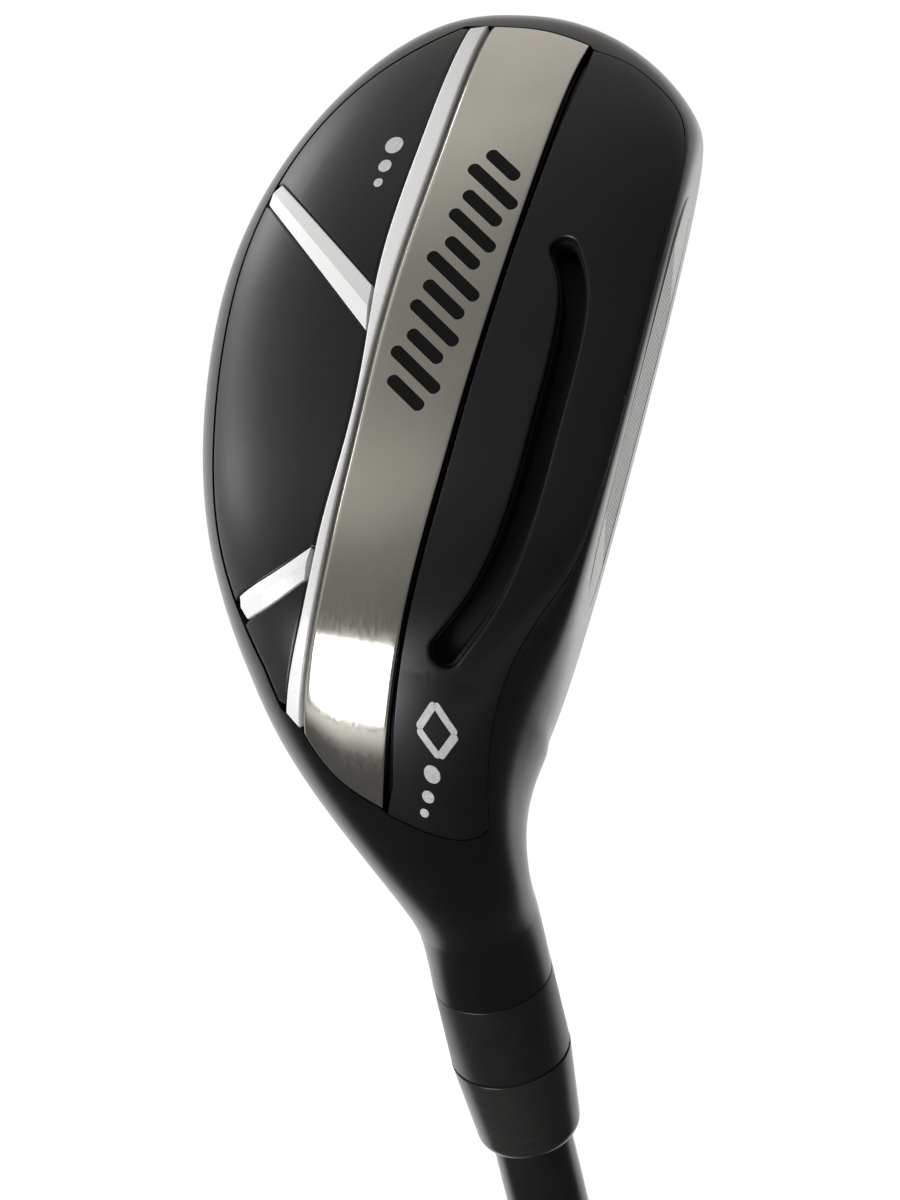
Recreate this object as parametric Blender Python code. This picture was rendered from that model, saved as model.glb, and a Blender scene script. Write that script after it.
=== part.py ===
"""A right-handed hybrid golf club, standing grip-down: the butt of the grip is on z = 0, the
shaft runs up +Z, the face looks towards -Y and the toe points to +X and up.

The head is shaped in its own axes, in millimetres: t runs to the toe, b to the back and h up
from the ground at address. The shaft axis crosses t = b = h = 0 at the lie angle."""
import math

import bmesh
import bpy
import numpy as np
from mathutils import Vector

MM = 0.001

# Club
CLUB_LENGTH = 1016.0
LIE = math.radians(60.0)
LOFT = math.radians(20.0)
FACE_CLOSED = math.radians(3.0)

# Neck: the head's sections swing about a pivot beside the shaft axis
HOSEL_RADIUS = 6.9
HOSEL_END = 51.6
PIVOT_REACH = 18.0
PIVOT_ALONG = 43.0
SWING = 34.0
BORE_RADIUS = 4.95
BORE_END = 13.0

# Head
TOE = 81.3
TOE_BACK = 8.6
TOE_HEIGHT = 17.0
LEADING_EDGE = 19.7
EDGE_ROUNDING = 2.2
FACE_HEEL = (-23.6, -3.8)

# Fits between pieces
GAP = 0.3
SLIT = 0.75
PLATE = 1.2
POCKET = PLATE + 0.45
SOLE_WALL = 3.1
CROWN_PLATE = 1.0
CROWN_WALL = 2.7
CROWN_LEDGE = 3.0
FACE_PLATE = 2.4
FACE_WALL = 4.2
FACE_LEDGE = 1.8
SIDE_WALL = 2.2

# Shaft, ferrule and grip, as radii along the club
SHAFT_TIP_ALONG = 23.8
SHAFT_TIP_RADIUS = 4.65
SHAFT_BUTT_RADIUS = 7.6
SHAFT_WALL = 1.5
COLLAR_END = 62.7
FERRULE_END = 75.2
GRIP_LENGTH = 268.0
GRIP_MOUTH_RADIUS = 9.8
GRIP_BUTT_RADIUS = 13.3
CAP_THICKNESS = 4.0
ROUND_STEPS = 32

PIVOT_T = PIVOT_REACH * math.sin(LIE) - PIVOT_ALONG * math.cos(LIE)
PIVOT_H = PIVOT_ALONG * math.sin(LIE) + PIVOT_REACH * math.cos(LIE)
NECK_START = PIVOT_T - SWING * LIE
NECK_END = NECK_START - (HOSEL_END - PIVOT_ALONG)

# Key sections of the head from the hosel to the toe. A station is the distance along the sole.
# Back and front are places along b. The reaches are distances below the neck's pivot.
#          station     back  front  sole  waist  crown  sole centre
SECTIONS = (
    (NECK_END, 6.9, -6.9, 24.9, 18.0, 11.1, 0.0),
    (NECK_START, 6.9, -6.9, 24.9, 18.0, 11.1, 0.0),
    (-29.8, 8.6, -7.5, 29.0, 21.2, 12.4, 0.0),
    (-18.0, 13.8, -8.1, 36.0, 25.2, 13.2, 4.0),
    (PIVOT_T, 20.8, -11.6, 45.4, 32.2, 15.0, 8.0),
    (20.0, 33.6, -24.2, 46.1, 31.5, 11.7, 9.0),
    (45.0, 36.9, -25.3, 45.1, 29.6, 10.0, 8.0),
    (TOE, 30.9, -23.0, 42.2, 29.2, 9.5, 8.0),
)
SECTION_NAMES = ("back", "front", "sole", "waist", "crown", "sole_centre")

# How each outline closes at the toe: where it starts, and its superellipse power
CLOSING = {"back": (37.5, 2.46), "front": (44.7, 2.06), "sole": (40.0, 2.2), "crown": (45.0, 2.2)}
# Section roundness: front sole, back sole, back crown, front crown (2 is a circle)
ROUNDNESS = (2.6, 2.4, 2.2, 2.6)

# Outlines on the sole, as (station, b)
STRIP_FRONT = ((-17.8, 3.2), (-9.0, 1.0), (5.0, -0.6), (25.0, -0.7), (50.0, -2.8), (75.0, -3.2))
STRIP_BACK = ((-10.9, 12.0), (-3.0, 10.4), (15.0, 10.5), (35.0, 11.0), (55.0, 9.4), (77.3, 9.8))
STRIP_TOE = ((75.0, -3.2), (76.9, 3.0), (77.3, 9.8))
STRIP_HEEL = ((-17.8, 3.2), (-15.0, 8.2), (-10.9, 12.0))
SPINE_BACK = (
    (-9.6, 13.9), (-2.5, 11.9), (10.0, 11.5), (31.0, 12.1), (40.0, 12.6), (57.0, 11.9), (76.8, 12.1),
)
PLATE_FRONT = (
    (-19.3, -6.95), (-16.0, -7.45), (-12.0, -8.25), (-8.0, -9.4), (-4.0, -10.9), (0.0, -12.7),
    (4.0, -14.7), (8.0, -16.7), (12.0, -18.1), (18.0, -18.9), (30.0, -19.1), (46.0, -19.1),
    (55.0, -18.9), (60.0, -18.4), (63.8, -17.4),
)
PLATE_TOE = ((63.8, -17.4), (65.95, -16.4), (68.65, -14.4), (71.05, -11.5), (72.9, -8.5), (74.2, -3.9))
PLATE_HEEL = ((-19.3, -6.95), (-20.3, -6.3), (-20.8, -5.2), (-20.7, -3.4), (-20.0, -1.2), (-18.3, 2.75))
REAR_EDGE = (
    (-9.2, 14.6), (-3.0, 18.9), (5.0, 23.8), (19.0, 29.6), (36.0, 32.4), (52.4, 30.9), (66.0, 24.8),
    (77.3, 12.9),
)
TOE_SPOKE_TOP = ((39.9, 13.0), (45.3, 19.1), (54.2, 29.2))
TOE_SPOKE_LOW = ((34.3, 12.5), (43.9, 22.3), (51.6, 30.3))
HEEL_SPOKE_TOP = ((6.7, 11.9), (3.6, 16.0), (1.6, 20.6))
HEEL_SPOKE_LOW = ((2.8, 11.9), (-0.3, 16.7), (-1.0, 19.2))
SLOT_MIDDLE = (
    (-4.7, -4.1), (2.0, -8.2), (9.0, -10.2), (24.0, -10.9), (36.0, -11.2), (42.5, -10.3), (47.2, -7.9),
)
SLOT_WIDTH = 3.2
SLOT_DEPTH = 5.2

# Face plate: a rounded outline, taller at the toe, as (t, distance up the face)
FACE_MIDDLE = (34.5, 19.3)
FACE_HALF_LENGTH = 24.0
FACE_HALF_HEIGHT = 10.6
FACE_TAPER = 0.6
FACE_ROUNDNESS = 3.2
FACE_SET_BACK = 0.12
SCORE_FIRST = 10.9
SCORE_PITCH = 2.4
SCORE_COUNT = 8
SCORE_ENDS = (18.0, 50.0)
SCORE_HALF_WIDTH = 0.4
SCORE_DEPTH = 0.38


def spline(points):
    """A natural cubic spline: returns value(x) for points (x, y)."""
    xs = np.array([p[0] for p in points])
    ys = np.array([p[1] for p in points])
    step = np.diff(xs)
    rise = np.diff(ys) / step
    size = len(xs)
    matrix = np.eye(size)
    right = np.zeros(size)
    for i in range(1, size - 1):
        matrix[i, i - 1:i + 2] = (step[i - 1], 2 * (step[i - 1] + step[i]), step[i])
        right[i] = 6 * (rise[i] - rise[i - 1])
    bend = np.linalg.solve(matrix, right)

    def value(x):
        i = int(np.clip(np.searchsorted(xs, x) - 1, 0, size - 2))
        a = xs[i + 1] - x
        c = x - xs[i]
        s = step[i]
        line = (ys[i] / s - bend[i] * s / 6) * a + (ys[i + 1] / s - bend[i + 1] * s / 6) * c
        return line + (bend[i] * a ** 3 + bend[i + 1] * c ** 3) / (6 * s)

    return value


PROFILE = {
    name: spline([(row[0], row[k + 1]) for row in SECTIONS]) for k, name in enumerate(SECTION_NAMES)
}


def ease(x):
    x = min(max(x, 0.0), 1.0)
    return x * x * (3 - 2 * x)


def closing(x, power):
    return (1 - min(max(x, 0.0), 1.0) ** power) ** (1 / power)


def section(w, inset=None):
    """The extremes of the head's section at station w. An inset draws them in, for the cavity."""
    toe = TOE - (inset["toe"] if inset else 0.0)
    pole = {"back": TOE_BACK, "front": TOE_BACK, "sole": PIVOT_H - TOE_HEIGHT, "crown": PIVOT_H - TOE_HEIGHT}
    out = {name: PROFILE[name](w) for name in SECTION_NAMES}
    if inset:
        out["back"] -= inset["side"]
        out["front"] += inset["side"]
        out["sole"] -= inset["sole"]
        out["crown"] += inset["crown"]
    for name, (start, power) in CLOSING.items():
        shrink = closing((w - start) / (toe - start), power)
        out[name] = pole[name] + (out[name] - pole[name]) * shrink
    shrink = closing((w - CLOSING["back"][0]) / (toe - CLOSING["back"][0]), 2.0)
    out["sole_centre"] = TOE_BACK + (out["sole_centre"] - TOE_BACK) * shrink
    out["crown_centre"] = TOE_BACK * (1 - shrink)
    out["waist"] = pole["sole"] + (out["waist"] - pole["sole"]) * shrink
    out["body"] = ease((w - NECK_START) / (PIVOT_T + 8.0 - NECK_START))
    return out


def place(w, b, reach, face_set=0.0):
    """A point of station w, after the flat face has trimmed the front."""
    swing = min(max((PIVOT_T - w) / SWING, 0.0), LIE)
    t = PIVOT_T - reach * math.sin(swing) + max(w - PIVOT_T, 0.0)
    h = PIVOT_H - reach * math.cos(swing)
    neck = max(NECK_START - w, 0.0)
    t -= neck * math.cos(LIE)
    h += neck * math.sin(LIE)
    away = ease((FACE_HEEL[1] - t) / (FACE_HEEL[1] - FACE_HEEL[0])) * 40.0
    face = face_line(t, h) + face_set - away
    over = b - face
    return Vector((t, face + 0.5 * (over + math.hypot(over, EDGE_ROUNDING)), h))


def face_line(t, h):
    return h * math.tan(LOFT) - t * math.tan(FACE_CLOSED) - LEADING_EDGE


def skin(w, b, crown=False):
    """The head's outer surface over the plan point (w, b)."""
    s = section(w)
    centre = s["crown_centre"] if crown else s["sole_centre"]
    front = b < centre
    side = s["front"] if front else s["back"]
    power = ROUNDNESS[(3 if front else 2) if crown else (0 if front else 1)]
    power = 2 + (power - 2) * s["body"]
    across = min(abs((b - centre) / (side - centre)), 0.9999)
    up = (1 - across ** power) ** (1 / power)
    tip = s["crown"] if crown else s["sole"]
    return place(w, b, s["waist"] + (tip - s["waist"]) * up)


def skin_at(w, b, depth, crown=False):
    """The point depth below the outer surface, along its normal."""
    step = 0.05
    point = skin(w, b, crown)
    along = skin(w + step, b, crown) - skin(w - step, b, crown)
    across = skin(w, b + step, crown) - skin(w, b - step, crown)
    normal = along.cross(across).normalized()
    inward = normal if crown else -normal
    return point + inward * depth * (1 if inward.z * (-1 if crown else 1) > 0 else -1)


def ring(w, count, inset=None):
    """The closed section at station w, as count points."""
    s = section(w, inset)
    points = []
    for k in range(count):
        angle = 2 * math.pi * k / count
        angle += 0.12 * math.sin(4 * angle)
        c, d = math.cos(angle), math.sin(angle)
        low = d >= 0
        power = ROUNDNESS[(0 if c >= 0 else 1) if low else (2 if c < 0 else 3)]
        power = 2 + (power - 2) * s["body"]
        size = (abs(c) ** power + abs(d) ** power) ** (-1 / power)
        centre = s["sole_centre"] if low else s["crown_centre"]
        side = s["front"] if c >= 0 else s["back"]
        tip = s["sole"] if low else s["crown"]
        b = centre + (side - centre) * abs(c) * size
        reach = s["waist"] + (tip - s["waist"]) * abs(d) * size
        points.append(place(w, b, reach, inset["face"] if inset else 0.0))
    return points


def to_club(p):
    """From the head's axes in millimetres to the club's in metres."""
    x = p[0] * math.sin(LIE) + p[2] * math.cos(LIE)
    z = p[0] * math.cos(LIE) - p[2] * math.sin(LIE) + CLUB_LENGTH
    return Vector((x, p[1], z)) * MM


def material(name, colour, roughness, metallic):
    mat = bpy.data.materials.new(name)
    mat.use_nodes = True
    shader = mat.node_tree.nodes["Principled BSDF"]
    shader.inputs["Base Color"].default_value = (*colour, 1.0)
    shader.inputs["Roughness"].default_value = roughness
    shader.inputs["Metallic"].default_value = metallic
    mat.diffuse_color = (*colour, 1.0)
    return mat


def add_object(name, points, faces, mat, smooth=math.radians(35)):
    mesh = bpy.data.meshes.new(name)
    mesh.from_pydata([tuple(p) for p in points], [], faces)
    work = bmesh.new()
    work.from_mesh(mesh)
    bmesh.ops.recalc_face_normals(work, faces=work.faces)
    work.to_mesh(mesh)
    work.free()
    mesh.shade_smooth()
    mesh.set_sharp_from_angle(angle=smooth)
    obj = bpy.data.objects.new(name, mesh)
    bpy.context.scene.collection.objects.link(obj)
    if mat:
        mesh.materials.append(mat)
    return obj


def cut(obj, cutter):
    cutter.hide_render = True
    cutter.display_type = "WIRE"
    modifier = obj.modifiers.new(cutter.name, "BOOLEAN")
    modifier.operation = "DIFFERENCE"
    modifier.solver = "EXACT"
    modifier.object = cutter


def loft(name, rings, mat, pole=None):
    """A closed solid through rings of equal length, with a flat end and an end or a pole."""
    count = len(rings[0])
    points = [p for row in rings for p in row]
    faces = [tuple(range(count))]
    for i in range(len(rings) - 1):
        for k in range(count):
            a, b = i * count + k, i * count + (k + 1) % count
            faces.append((a, b, b + count, a + count))
    last = (len(rings) - 1) * count
    if pole is None:
        faces.append(tuple(range(last, last + count)))
    else:
        points.append(pole)
        faces += [(last + k, last + (k + 1) % count, len(points) - 1) for k in range(count)]
    return add_object(name, points, faces, mat)


def lathe(name, profile, mat, steps=ROUND_STEPS):
    """A ring of the closed profile of (radius, z) in millimetres, turned about the shaft axis."""
    points = []
    for k in range(steps):
        angle = 2 * math.pi * k / steps
        points += [Vector((r * math.cos(angle), r * math.sin(angle), z)) * MM for r, z in profile]
    size = len(profile)
    faces = []
    for k in range(steps):
        for i in range(size):
            a, b = k * size + i, k * size + (i + 1) % size
            c, d = (k + 1) % steps * size + (i + 1) % size, (k + 1) % steps * size + i
            faces.append((a, b, c, d))
    return add_object(name, points, faces, mat)


def disc_lathe(name, profile, mat, steps=ROUND_STEPS):
    """A solid of the open profile of (radius, z), closed by flat ends."""
    rings = []
    for r, z in profile:
        row = [2 * math.pi * k / steps for k in range(steps)]
        rings.append([Vector((r * math.cos(a), r * math.sin(a), z)) * MM for a in row])
    return loft(name, rings, mat)


def curve(points, count):
    """Count places along a smooth line through the points, spaced by its length."""
    spots = [Vector(p) for p in points]
    chord = [0.0]
    for a, b in zip(spots, spots[1:]):
        chord.append(chord[-1] + (b - a).length)
    along_w = spline([(c, p[0]) for c, p in zip(chord, spots)])
    along_b = spline([(c, p[1]) for c, p in zip(chord, spots)])
    return [Vector((along_w(c), along_b(c))) for c in np.linspace(0.0, chord[-1], count)]


def shifted(line, distance):
    """The line moved sideways, to the left of its direction when the distance is positive."""
    out = []
    for i, p in enumerate(line):
        a = line[max(i - 1, 0)]
        b = line[min(i + 1, len(line) - 1)]
        way = (b - a).normalized()
        out.append(p + Vector((-way[1], way[0])) * distance)
    return out


def patch(front, back, heel, toe, rows, columns):
    """Plan points between four border lines: front and back run heel to toe, the others front to back."""
    f, k = curve(front, rows), curve(back, rows)
    h, t = curve(heel, columns), curve(toe, columns)
    grid = []
    for i in range(rows):
        u = i / (rows - 1)
        line = []
        for j in range(columns):
            v = j / (columns - 1)
            corners = (1 - u) * ((1 - v) * f[0] + v * k[0]) + u * ((1 - v) * f[-1] + v * k[-1])
            line.append((1 - v) * f[i] + v * k[i] + (1 - u) * h[j] + u * t[j] - corners)
        grid.append(line)
    return grid


def slab(name, grid, top, bottom, mat, crown=False):
    """A closed plate over the plan grid, between two depths below the head's surface."""
    rows, columns = len(grid), len(grid[0])
    points = []
    for depth in (top, bottom):
        for line in grid:
            points += [to_club(skin_at(p[0], p[1], depth, crown)) for p in line]
    faces = []
    low = rows * columns
    for i in range(rows - 1):
        for j in range(columns - 1):
            a = i * columns + j
            faces.append((a, a + 1, a + columns + 1, a + columns))
            faces.append((low + a, low + a + columns, low + a + columns + 1, low + a + 1))
    border = [(0, j) for j in range(columns)] + [(i, columns - 1) for i in range(1, rows)]
    border += [(rows - 1, j) for j in range(columns - 2, -1, -1)] + [(i, 0) for i in range(rows - 2, 0, -1)]
    ids = [i * columns + j for i, j in border]
    for a, b in zip(ids, ids[1:] + ids[:1]):
        faces.append((a, a + low, b + low, b))
    return add_object(name, points, faces, mat)


def band(middle, width, rows, inset=0.0, columns=3):
    """A plan grid along a middle line, with half-round ends, inset on every side."""
    last = 400
    line = curve(middle, last + 1)
    half = width / 2 - inset
    step = (line[1] - line[0]).length
    turns = [math.radians(a) for a in (18, 42, 66, 90)]
    cap = [((inset + half * (1 - math.cos(a))) / step, math.sin(a)) for a in turns]
    straight = [(k, 1.0) for k in np.linspace(cap[-1][0], last - cap[-1][0], rows)[1:-1]]
    grid = []
    for k, size in cap + straight + [(last - k, size) for k, size in reversed(cap)]:
        i = int(round(k))
        way = (line[min(i + 1, last)] - line[max(i - 1, 0)]).normalized()
        side = Vector((-way[1], way[0])) * half * size
        grid.append([line[i] + side * (2 * j / (columns - 1) - 1) for j in range(columns)])
    return grid


def stations(start, toe, swing_steps, body_steps, toe_steps):
    """Stations from start to just short of the toe, closer together where the head closes."""
    last = toe - 22.0
    out = list(np.linspace(start, PIVOT_T, swing_steps, endpoint=False)) if start < PIVOT_T else []
    out += list(np.linspace(max(start, PIVOT_T), last, body_steps, endpoint=False))
    turn = np.linspace(0.0, math.pi / 2, toe_steps + 1)[:-1]
    return out + [last + (toe - last) * math.sin(a) for a in turn]


def build_body(mat):
    rings = [[to_club(p) for p in ring(NECK_END, 44)]]
    rings += [[to_club(p) for p in ring(w, 44)] for w in stations(NECK_START, TOE, 10, 9, 8)]
    body = loft("head_body", rings, mat, to_club((TOE, TOE_BACK, TOE_HEIGHT)))
    return body


def build_cavity():
    inset = {"toe": 3.6, "side": SIDE_WALL, "sole": SOLE_WALL, "crown": CROWN_WALL, "face": FACE_WALL}
    toe = TOE - inset["toe"]
    rings = [[to_club(p) for p in ring(w, 24, inset)] for w in stations(-4.0, toe, 1, 7, 6)]
    return loft("cavity_cutter", rings, None, to_club((toe, TOE_BACK, TOE_HEIGHT)))


def build_bore():
    top = CLUB_LENGTH - BORE_END
    bottom = CLUB_LENGTH - HOSEL_END - 2.0
    return disc_lathe("bore_cutter", [(BORE_RADIUS, bottom), (BORE_RADIUS, top)], None)


def sole_pocket_grid():
    front = shifted(curve(PLATE_FRONT, 31), -GAP)
    front[-1] += Vector((0.35, 0.0))
    back = shifted(curve(REAR_EDGE, 21), GAP)
    heel = [front[0], (-20.7, -6.55), (-21.25, -5.35), (-21.15, -3.3), (-20.45, -1.0), (-18.7, 3.2),
            (-15.7, 8.7), back[0]]
    toe = [front[-1], (66.3, -16.7), (69.0, -14.75), (71.45, -11.8), (73.5, -8.7), (75.9, -3.4),
           (77.9, 3.0), (78.2, 9.8), back[-1]]
    return patch(front, back, heel, toe, 31, 19)


def build_sole_plates(mats):
    slit = curve([PLATE_HEEL[-1], *STRIP_FRONT[1:-1], PLATE_TOE[-1]], 13)
    front_back = [slit[0], *shifted(slit, -SLIT)[1:-1], slit[-1]]
    plate_grid = patch(PLATE_FRONT, front_back, PLATE_HEEL, PLATE_TOE, 23, 11)
    plate = slab("front_sole_plate", plate_grid, 0.0, PLATE, mats["satin"])
    cut(plate, slab("slot_cutter", band(SLOT_MIDDLE, SLOT_WIDTH, 19), -1.0, PLATE + 1.0, None))
    strip_grid = patch(STRIP_FRONT, STRIP_BACK, STRIP_HEEL, STRIP_TOE, 23, 6)
    slab("sole_strip", strip_grid, 0.0, PLATE, mats["steel"])
    spine_front = shifted(curve(STRIP_BACK, 15), GAP)
    spine_ends = ([spine_front[0], SPINE_BACK[0]], [spine_front[-1], SPINE_BACK[-1]])
    spine_grid = patch(spine_front, SPINE_BACK, *spine_ends, 23, 2)
    slab("silver_spine", spine_grid, -0.15, PLATE, mats["silver"])
    spokes = {"toe_spoke": (TOE_SPOKE_LOW, TOE_SPOKE_TOP), "heel_spoke": (HEEL_SPOKE_LOW, HEEL_SPOKE_TOP)}
    for name, (low, top) in spokes.items():
        grid = patch([low[0], top[0]], [low[-1], top[-1]], low, top, 5, 7)
        slab(name, grid, -0.15, PLATE, mats["silver"])
    build_rear_panels(mats["satin"])


def build_rear_panels(mat):
    """Three panels between the spine, the spokes and the rear edge, each a gap clear of them."""
    spine = shifted(curve(SPINE_BACK, 61), GAP)
    rear = shifted(curve(REAR_EDGE, 61), -GAP)

    def between(line, first, last):
        return [p for p in line if first < p[0] < last]

    above = shifted(curve(TOE_SPOKE_TOP, 5), -GAP)
    below = shifted(curve(TOE_SPOKE_LOW, 5), GAP)
    front = [above[0]] + between(spine, above[0][0] + 1.5, 76.0)
    back = [above[-1]] + between(rear, above[-1][0] + 1.0, 75.6)
    slab("toe_panel", patch(front, back, above, [front[-1], back[-1]], 10, 6), 0.0, PLATE, mat)
    upper = shifted(curve(HEEL_SPOKE_TOP, 5), -GAP)
    lower = shifted(curve(HEEL_SPOKE_LOW, 5), GAP)
    front = [upper[0]] + between(spine, upper[0][0] + 1.0, below[0][0] - 1.0) + [below[0]]
    back = [upper[-1]] + between(rear, upper[-1][0] + 1.0, below[-1][0] - 1.0) + [below[-1]]
    slab("middle_panel", patch(front, back, upper, below, 11, 7), 0.0, PLATE, mat)
    front = between(spine, -8.4, lower[0][0] - 0.8) + [lower[0]]
    back = between(rear, -7.8, lower[-1][0] - 0.8) + [lower[-1]]
    slab("heel_panel", patch(front, back, [front[0], back[0]], lower, 6, 4), 0.0, PLATE, mat)


def build_crown(body, mat):
    front = ((0.0, -3.0), (20.0, -4.2), (45.0, -5.4), (66.0, -4.0))
    back = ((0.0, 16.0), (18.0, 26.0), (40.0, 30.6), (58.0, 24.6), (68.0, 14.0))
    heel = (front[0], (-1.5, 6.0), back[0])
    toe = (front[-1], (70.0, 5.0), back[-1])
    slab("crown_plate", patch(front, back, heel, toe, 12, 8), 0.0, CROWN_PLATE, mat, crown=True)
    wide = [shifted(curve(line, 9), d) for line, d in ((front, -GAP), (back, GAP), (heel, GAP), (toe, -GAP))]
    recess = join_corners(wide)
    cut(body, slab("crown_recess_cutter", patch(*recess, 12, 8), -1.5, CROWN_PLATE + GAP, None, crown=True))
    inward = ((front, CROWN_LEDGE), (back, -CROWN_LEDGE), (heel, -CROWN_LEDGE), (toe, CROWN_LEDGE))
    inner = [shifted(curve(line, 9), d) for line, d in inward]
    opening = join_corners(inner)
    cut(body, slab("crown_opening_cutter", patch(*opening, 9, 6), 0.5, 5.0, None, crown=True))


def join_corners(lines):
    """Front, back, heel and toe lines with shared end points at the mean of the meeting ends."""
    front, back, heel, toe = [[Vector(p) for p in line] for line in lines]
    for a, i, b, j in ((front, 0, heel, 0), (back, 0, heel, -1), (front, -1, toe, 0), (back, -1, toe, -1)):
        near_t = b[j] if abs(a[i][1] - b[j][1]) < 0.01 else a[i]
        corner = Vector((b[j][0], a[i][1])) if near_t is a[i] else (a[i] + b[j]) / 2
        a[i] = corner
        b[j] = corner
    return front, back, heel, toe


def face_point(t, up, depth):
    """A point up the face from its foot, depth behind it."""
    h = up * math.cos(LOFT) - depth * math.sin(LOFT) * math.cos(FACE_CLOSED)
    b = face_line(t, up * math.cos(LOFT)) + depth * math.cos(LOFT) * math.cos(FACE_CLOSED)
    return Vector((t + depth * math.cos(LOFT) * math.sin(FACE_CLOSED), b, h))


def face_ring(grow, depth, count=44):
    """The face plate's outline, grown sideways, at a depth behind the face."""
    out = []
    for k in range(count):
        angle = 2 * math.pi * k / count
        c, d = math.cos(angle), math.sin(angle)
        size = (abs(c) ** FACE_ROUNDNESS + abs(d) ** FACE_ROUNDNESS) ** (-1 / FACE_ROUNDNESS)
        height = FACE_HALF_HEIGHT + FACE_TAPER * c * size + grow
        t = FACE_MIDDLE[0] + (FACE_HALF_LENGTH + grow) * c * size
        out.append(to_club(face_point(t, FACE_MIDDLE[1] + height * d * size, depth)))
    return out


def build_scorelines():
    """Cutters for the grooves across the face, as one mesh of closed boxes."""
    points, faces = [], []
    corners = ((-1, -SCORE_DEPTH), (1, -SCORE_DEPTH), (1, SCORE_DEPTH), (-1, SCORE_DEPTH))
    for k in range(SCORE_COUNT):
        up = SCORE_FIRST + k * SCORE_PITCH
        for t in SCORE_ENDS:
            points += [to_club(face_point(t, up + side * SCORE_HALF_WIDTH, FACE_SET_BACK + depth))
                       for side, depth in corners]
        sides = [(0, 1, 2, 3), (7, 6, 5, 4), (0, 4, 5, 1), (1, 5, 6, 2), (2, 6, 7, 3), (3, 7, 4, 0)]
        faces += [tuple(k * 8 + i for i in side) for side in sides]
    return add_object("scoreline_cutter", points, faces, None)


def build_face(body, mat):
    back = FACE_SET_BACK + FACE_PLATE
    plate = loft("face_plate", [face_ring(0.0, FACE_SET_BACK), face_ring(0.0, back)], mat)
    cut(body, loft("face_recess_cutter", [face_ring(GAP, -3.0), face_ring(GAP, back + GAP)], None))
    cut(body, loft("face_opening_cutter", [face_ring(-FACE_LEDGE, 0.0), face_ring(-FACE_LEDGE, 8.0)], None))
    cut(plate, build_scorelines())


def build_inner(mats):
    block = patch(((18.0, 20.0), (45.0, 21.5)), ((18.0, 25.0), (45.0, 27.0)), ((18.0, 20.0), (18.0, 25.0)),
                  ((45.0, 21.5), (45.0, 27.0)), 7, 3)
    slab("rear_weight_pad", block, SOLE_WALL + 1.0, SOLE_WALL + 5.0, mats["tungsten"])
    blob = patch(((52.0, -2.0), (63.0, -2.0)), ((52.0, 7.0), (63.0, 7.0)), ((52.0, -2.0), (52.0, 7.0)),
                 ((63.0, -2.0), (63.0, 7.0)), 4, 4)
    slab("hot_melt_pad", blob, SOLE_WALL + 0.6, SOLE_WALL + 3.0, mats["glue"])
    top = CLUB_LENGTH - BORE_END - 7.0
    disc_lathe("hosel_plug", [(4.65, top - 2.4), (4.65, top)], mats["cork"], 24)
    tip = CLUB_LENGTH - SHAFT_TIP_ALONG
    disc_lathe("tip_weight_pin", [(2.6, tip - 14.0), (2.6, tip + GAP), (4.5, tip + GAP), (4.5, tip + 0.9)],
               mats["brass"], 24)


def shaft_radius(z):
    """The shaft's outer radius: a parallel tip, a long taper and a parallel butt."""
    tip_start, butt_end = CLUB_LENGTH - 110.0, 60.0
    share = min(max((z - butt_end) / (tip_start - butt_end), 0.0), 1.0)
    return SHAFT_BUTT_RADIUS + (SHAFT_TIP_RADIUS - SHAFT_BUTT_RADIUS) * share


def build_shaft(mats):
    heights = [CAP_THICKNESS + 1.0, 60.0, GRIP_LENGTH, CLUB_LENGTH - 110.0, CLUB_LENGTH - SHAFT_TIP_ALONG]
    outer = [(shaft_radius(z), z) for z in heights]
    inner = [(shaft_radius(z) - SHAFT_WALL, z) for z in reversed(heights)]
    lathe("shaft", outer + inner, mats["graphite"])
    collar_top = CLUB_LENGTH - HOSEL_END - GAP / 2
    collar_low = CLUB_LENGTH - COLLAR_END
    bore = SHAFT_TIP_RADIUS + GAP
    lathe("hosel_collar", [(6.9, collar_top), (bore, collar_top), (bore, collar_low), (6.95, collar_low)],
          mats["collar"])
    top = collar_low - GAP
    low = CLUB_LENGTH - FERRULE_END
    nose = [(6.1 - 1.05 * (1 - math.cos(a)), low + 1.6 * (1 - math.sin(a))) for a in
            [math.radians(d) for d in (0, 30, 60, 90)]]
    lathe("ferrule", [(bore, top), (7.0, top)] + nose + [(bore, low)], mats["ferrule"])


def build_grip(mats):
    tape_low, tape_top = CAP_THICKNESS + 2.0, GRIP_LENGTH - 4.0
    outer = [(shaft_radius(z) + 2 * GAP, z) for z in (tape_low, 60.0, tape_top)]
    inner = [(shaft_radius(z) + GAP, z) for z in (tape_top, 60.0, tape_low)]
    lathe("grip_tape", outer + inner, mats["tape"])
    low = CAP_THICKNESS + GAP
    skin_line = [(GRIP_BUTT_RADIUS, low), (GRIP_BUTT_RADIUS - 0.2, 14.0), (12.4, 60.0), (11.0, 150.0)]
    skin_line += [(10.2, 240.0), (GRIP_MOUTH_RADIUS, GRIP_LENGTH - 6.0), (9.3, GRIP_LENGTH - 1.0)]
    skin_line += [(8.8, GRIP_LENGTH)]
    bore = [(shaft_radius(z) + 3 * GAP, z) for z in (GRIP_LENGTH, 60.0, low)]
    lathe("grip", skin_line + bore, mats["rubber"])
    cap = [(2.0, 0.0), (GRIP_BUTT_RADIUS - 1.6, 0.0), (GRIP_BUTT_RADIUS - 0.4, 0.7), (GRIP_BUTT_RADIUS, 2.0)]
    cap += [(GRIP_BUTT_RADIUS, CAP_THICKNESS), (2.0, CAP_THICKNESS)]
    lathe("grip_cap", cap, mats["cap"])


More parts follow.
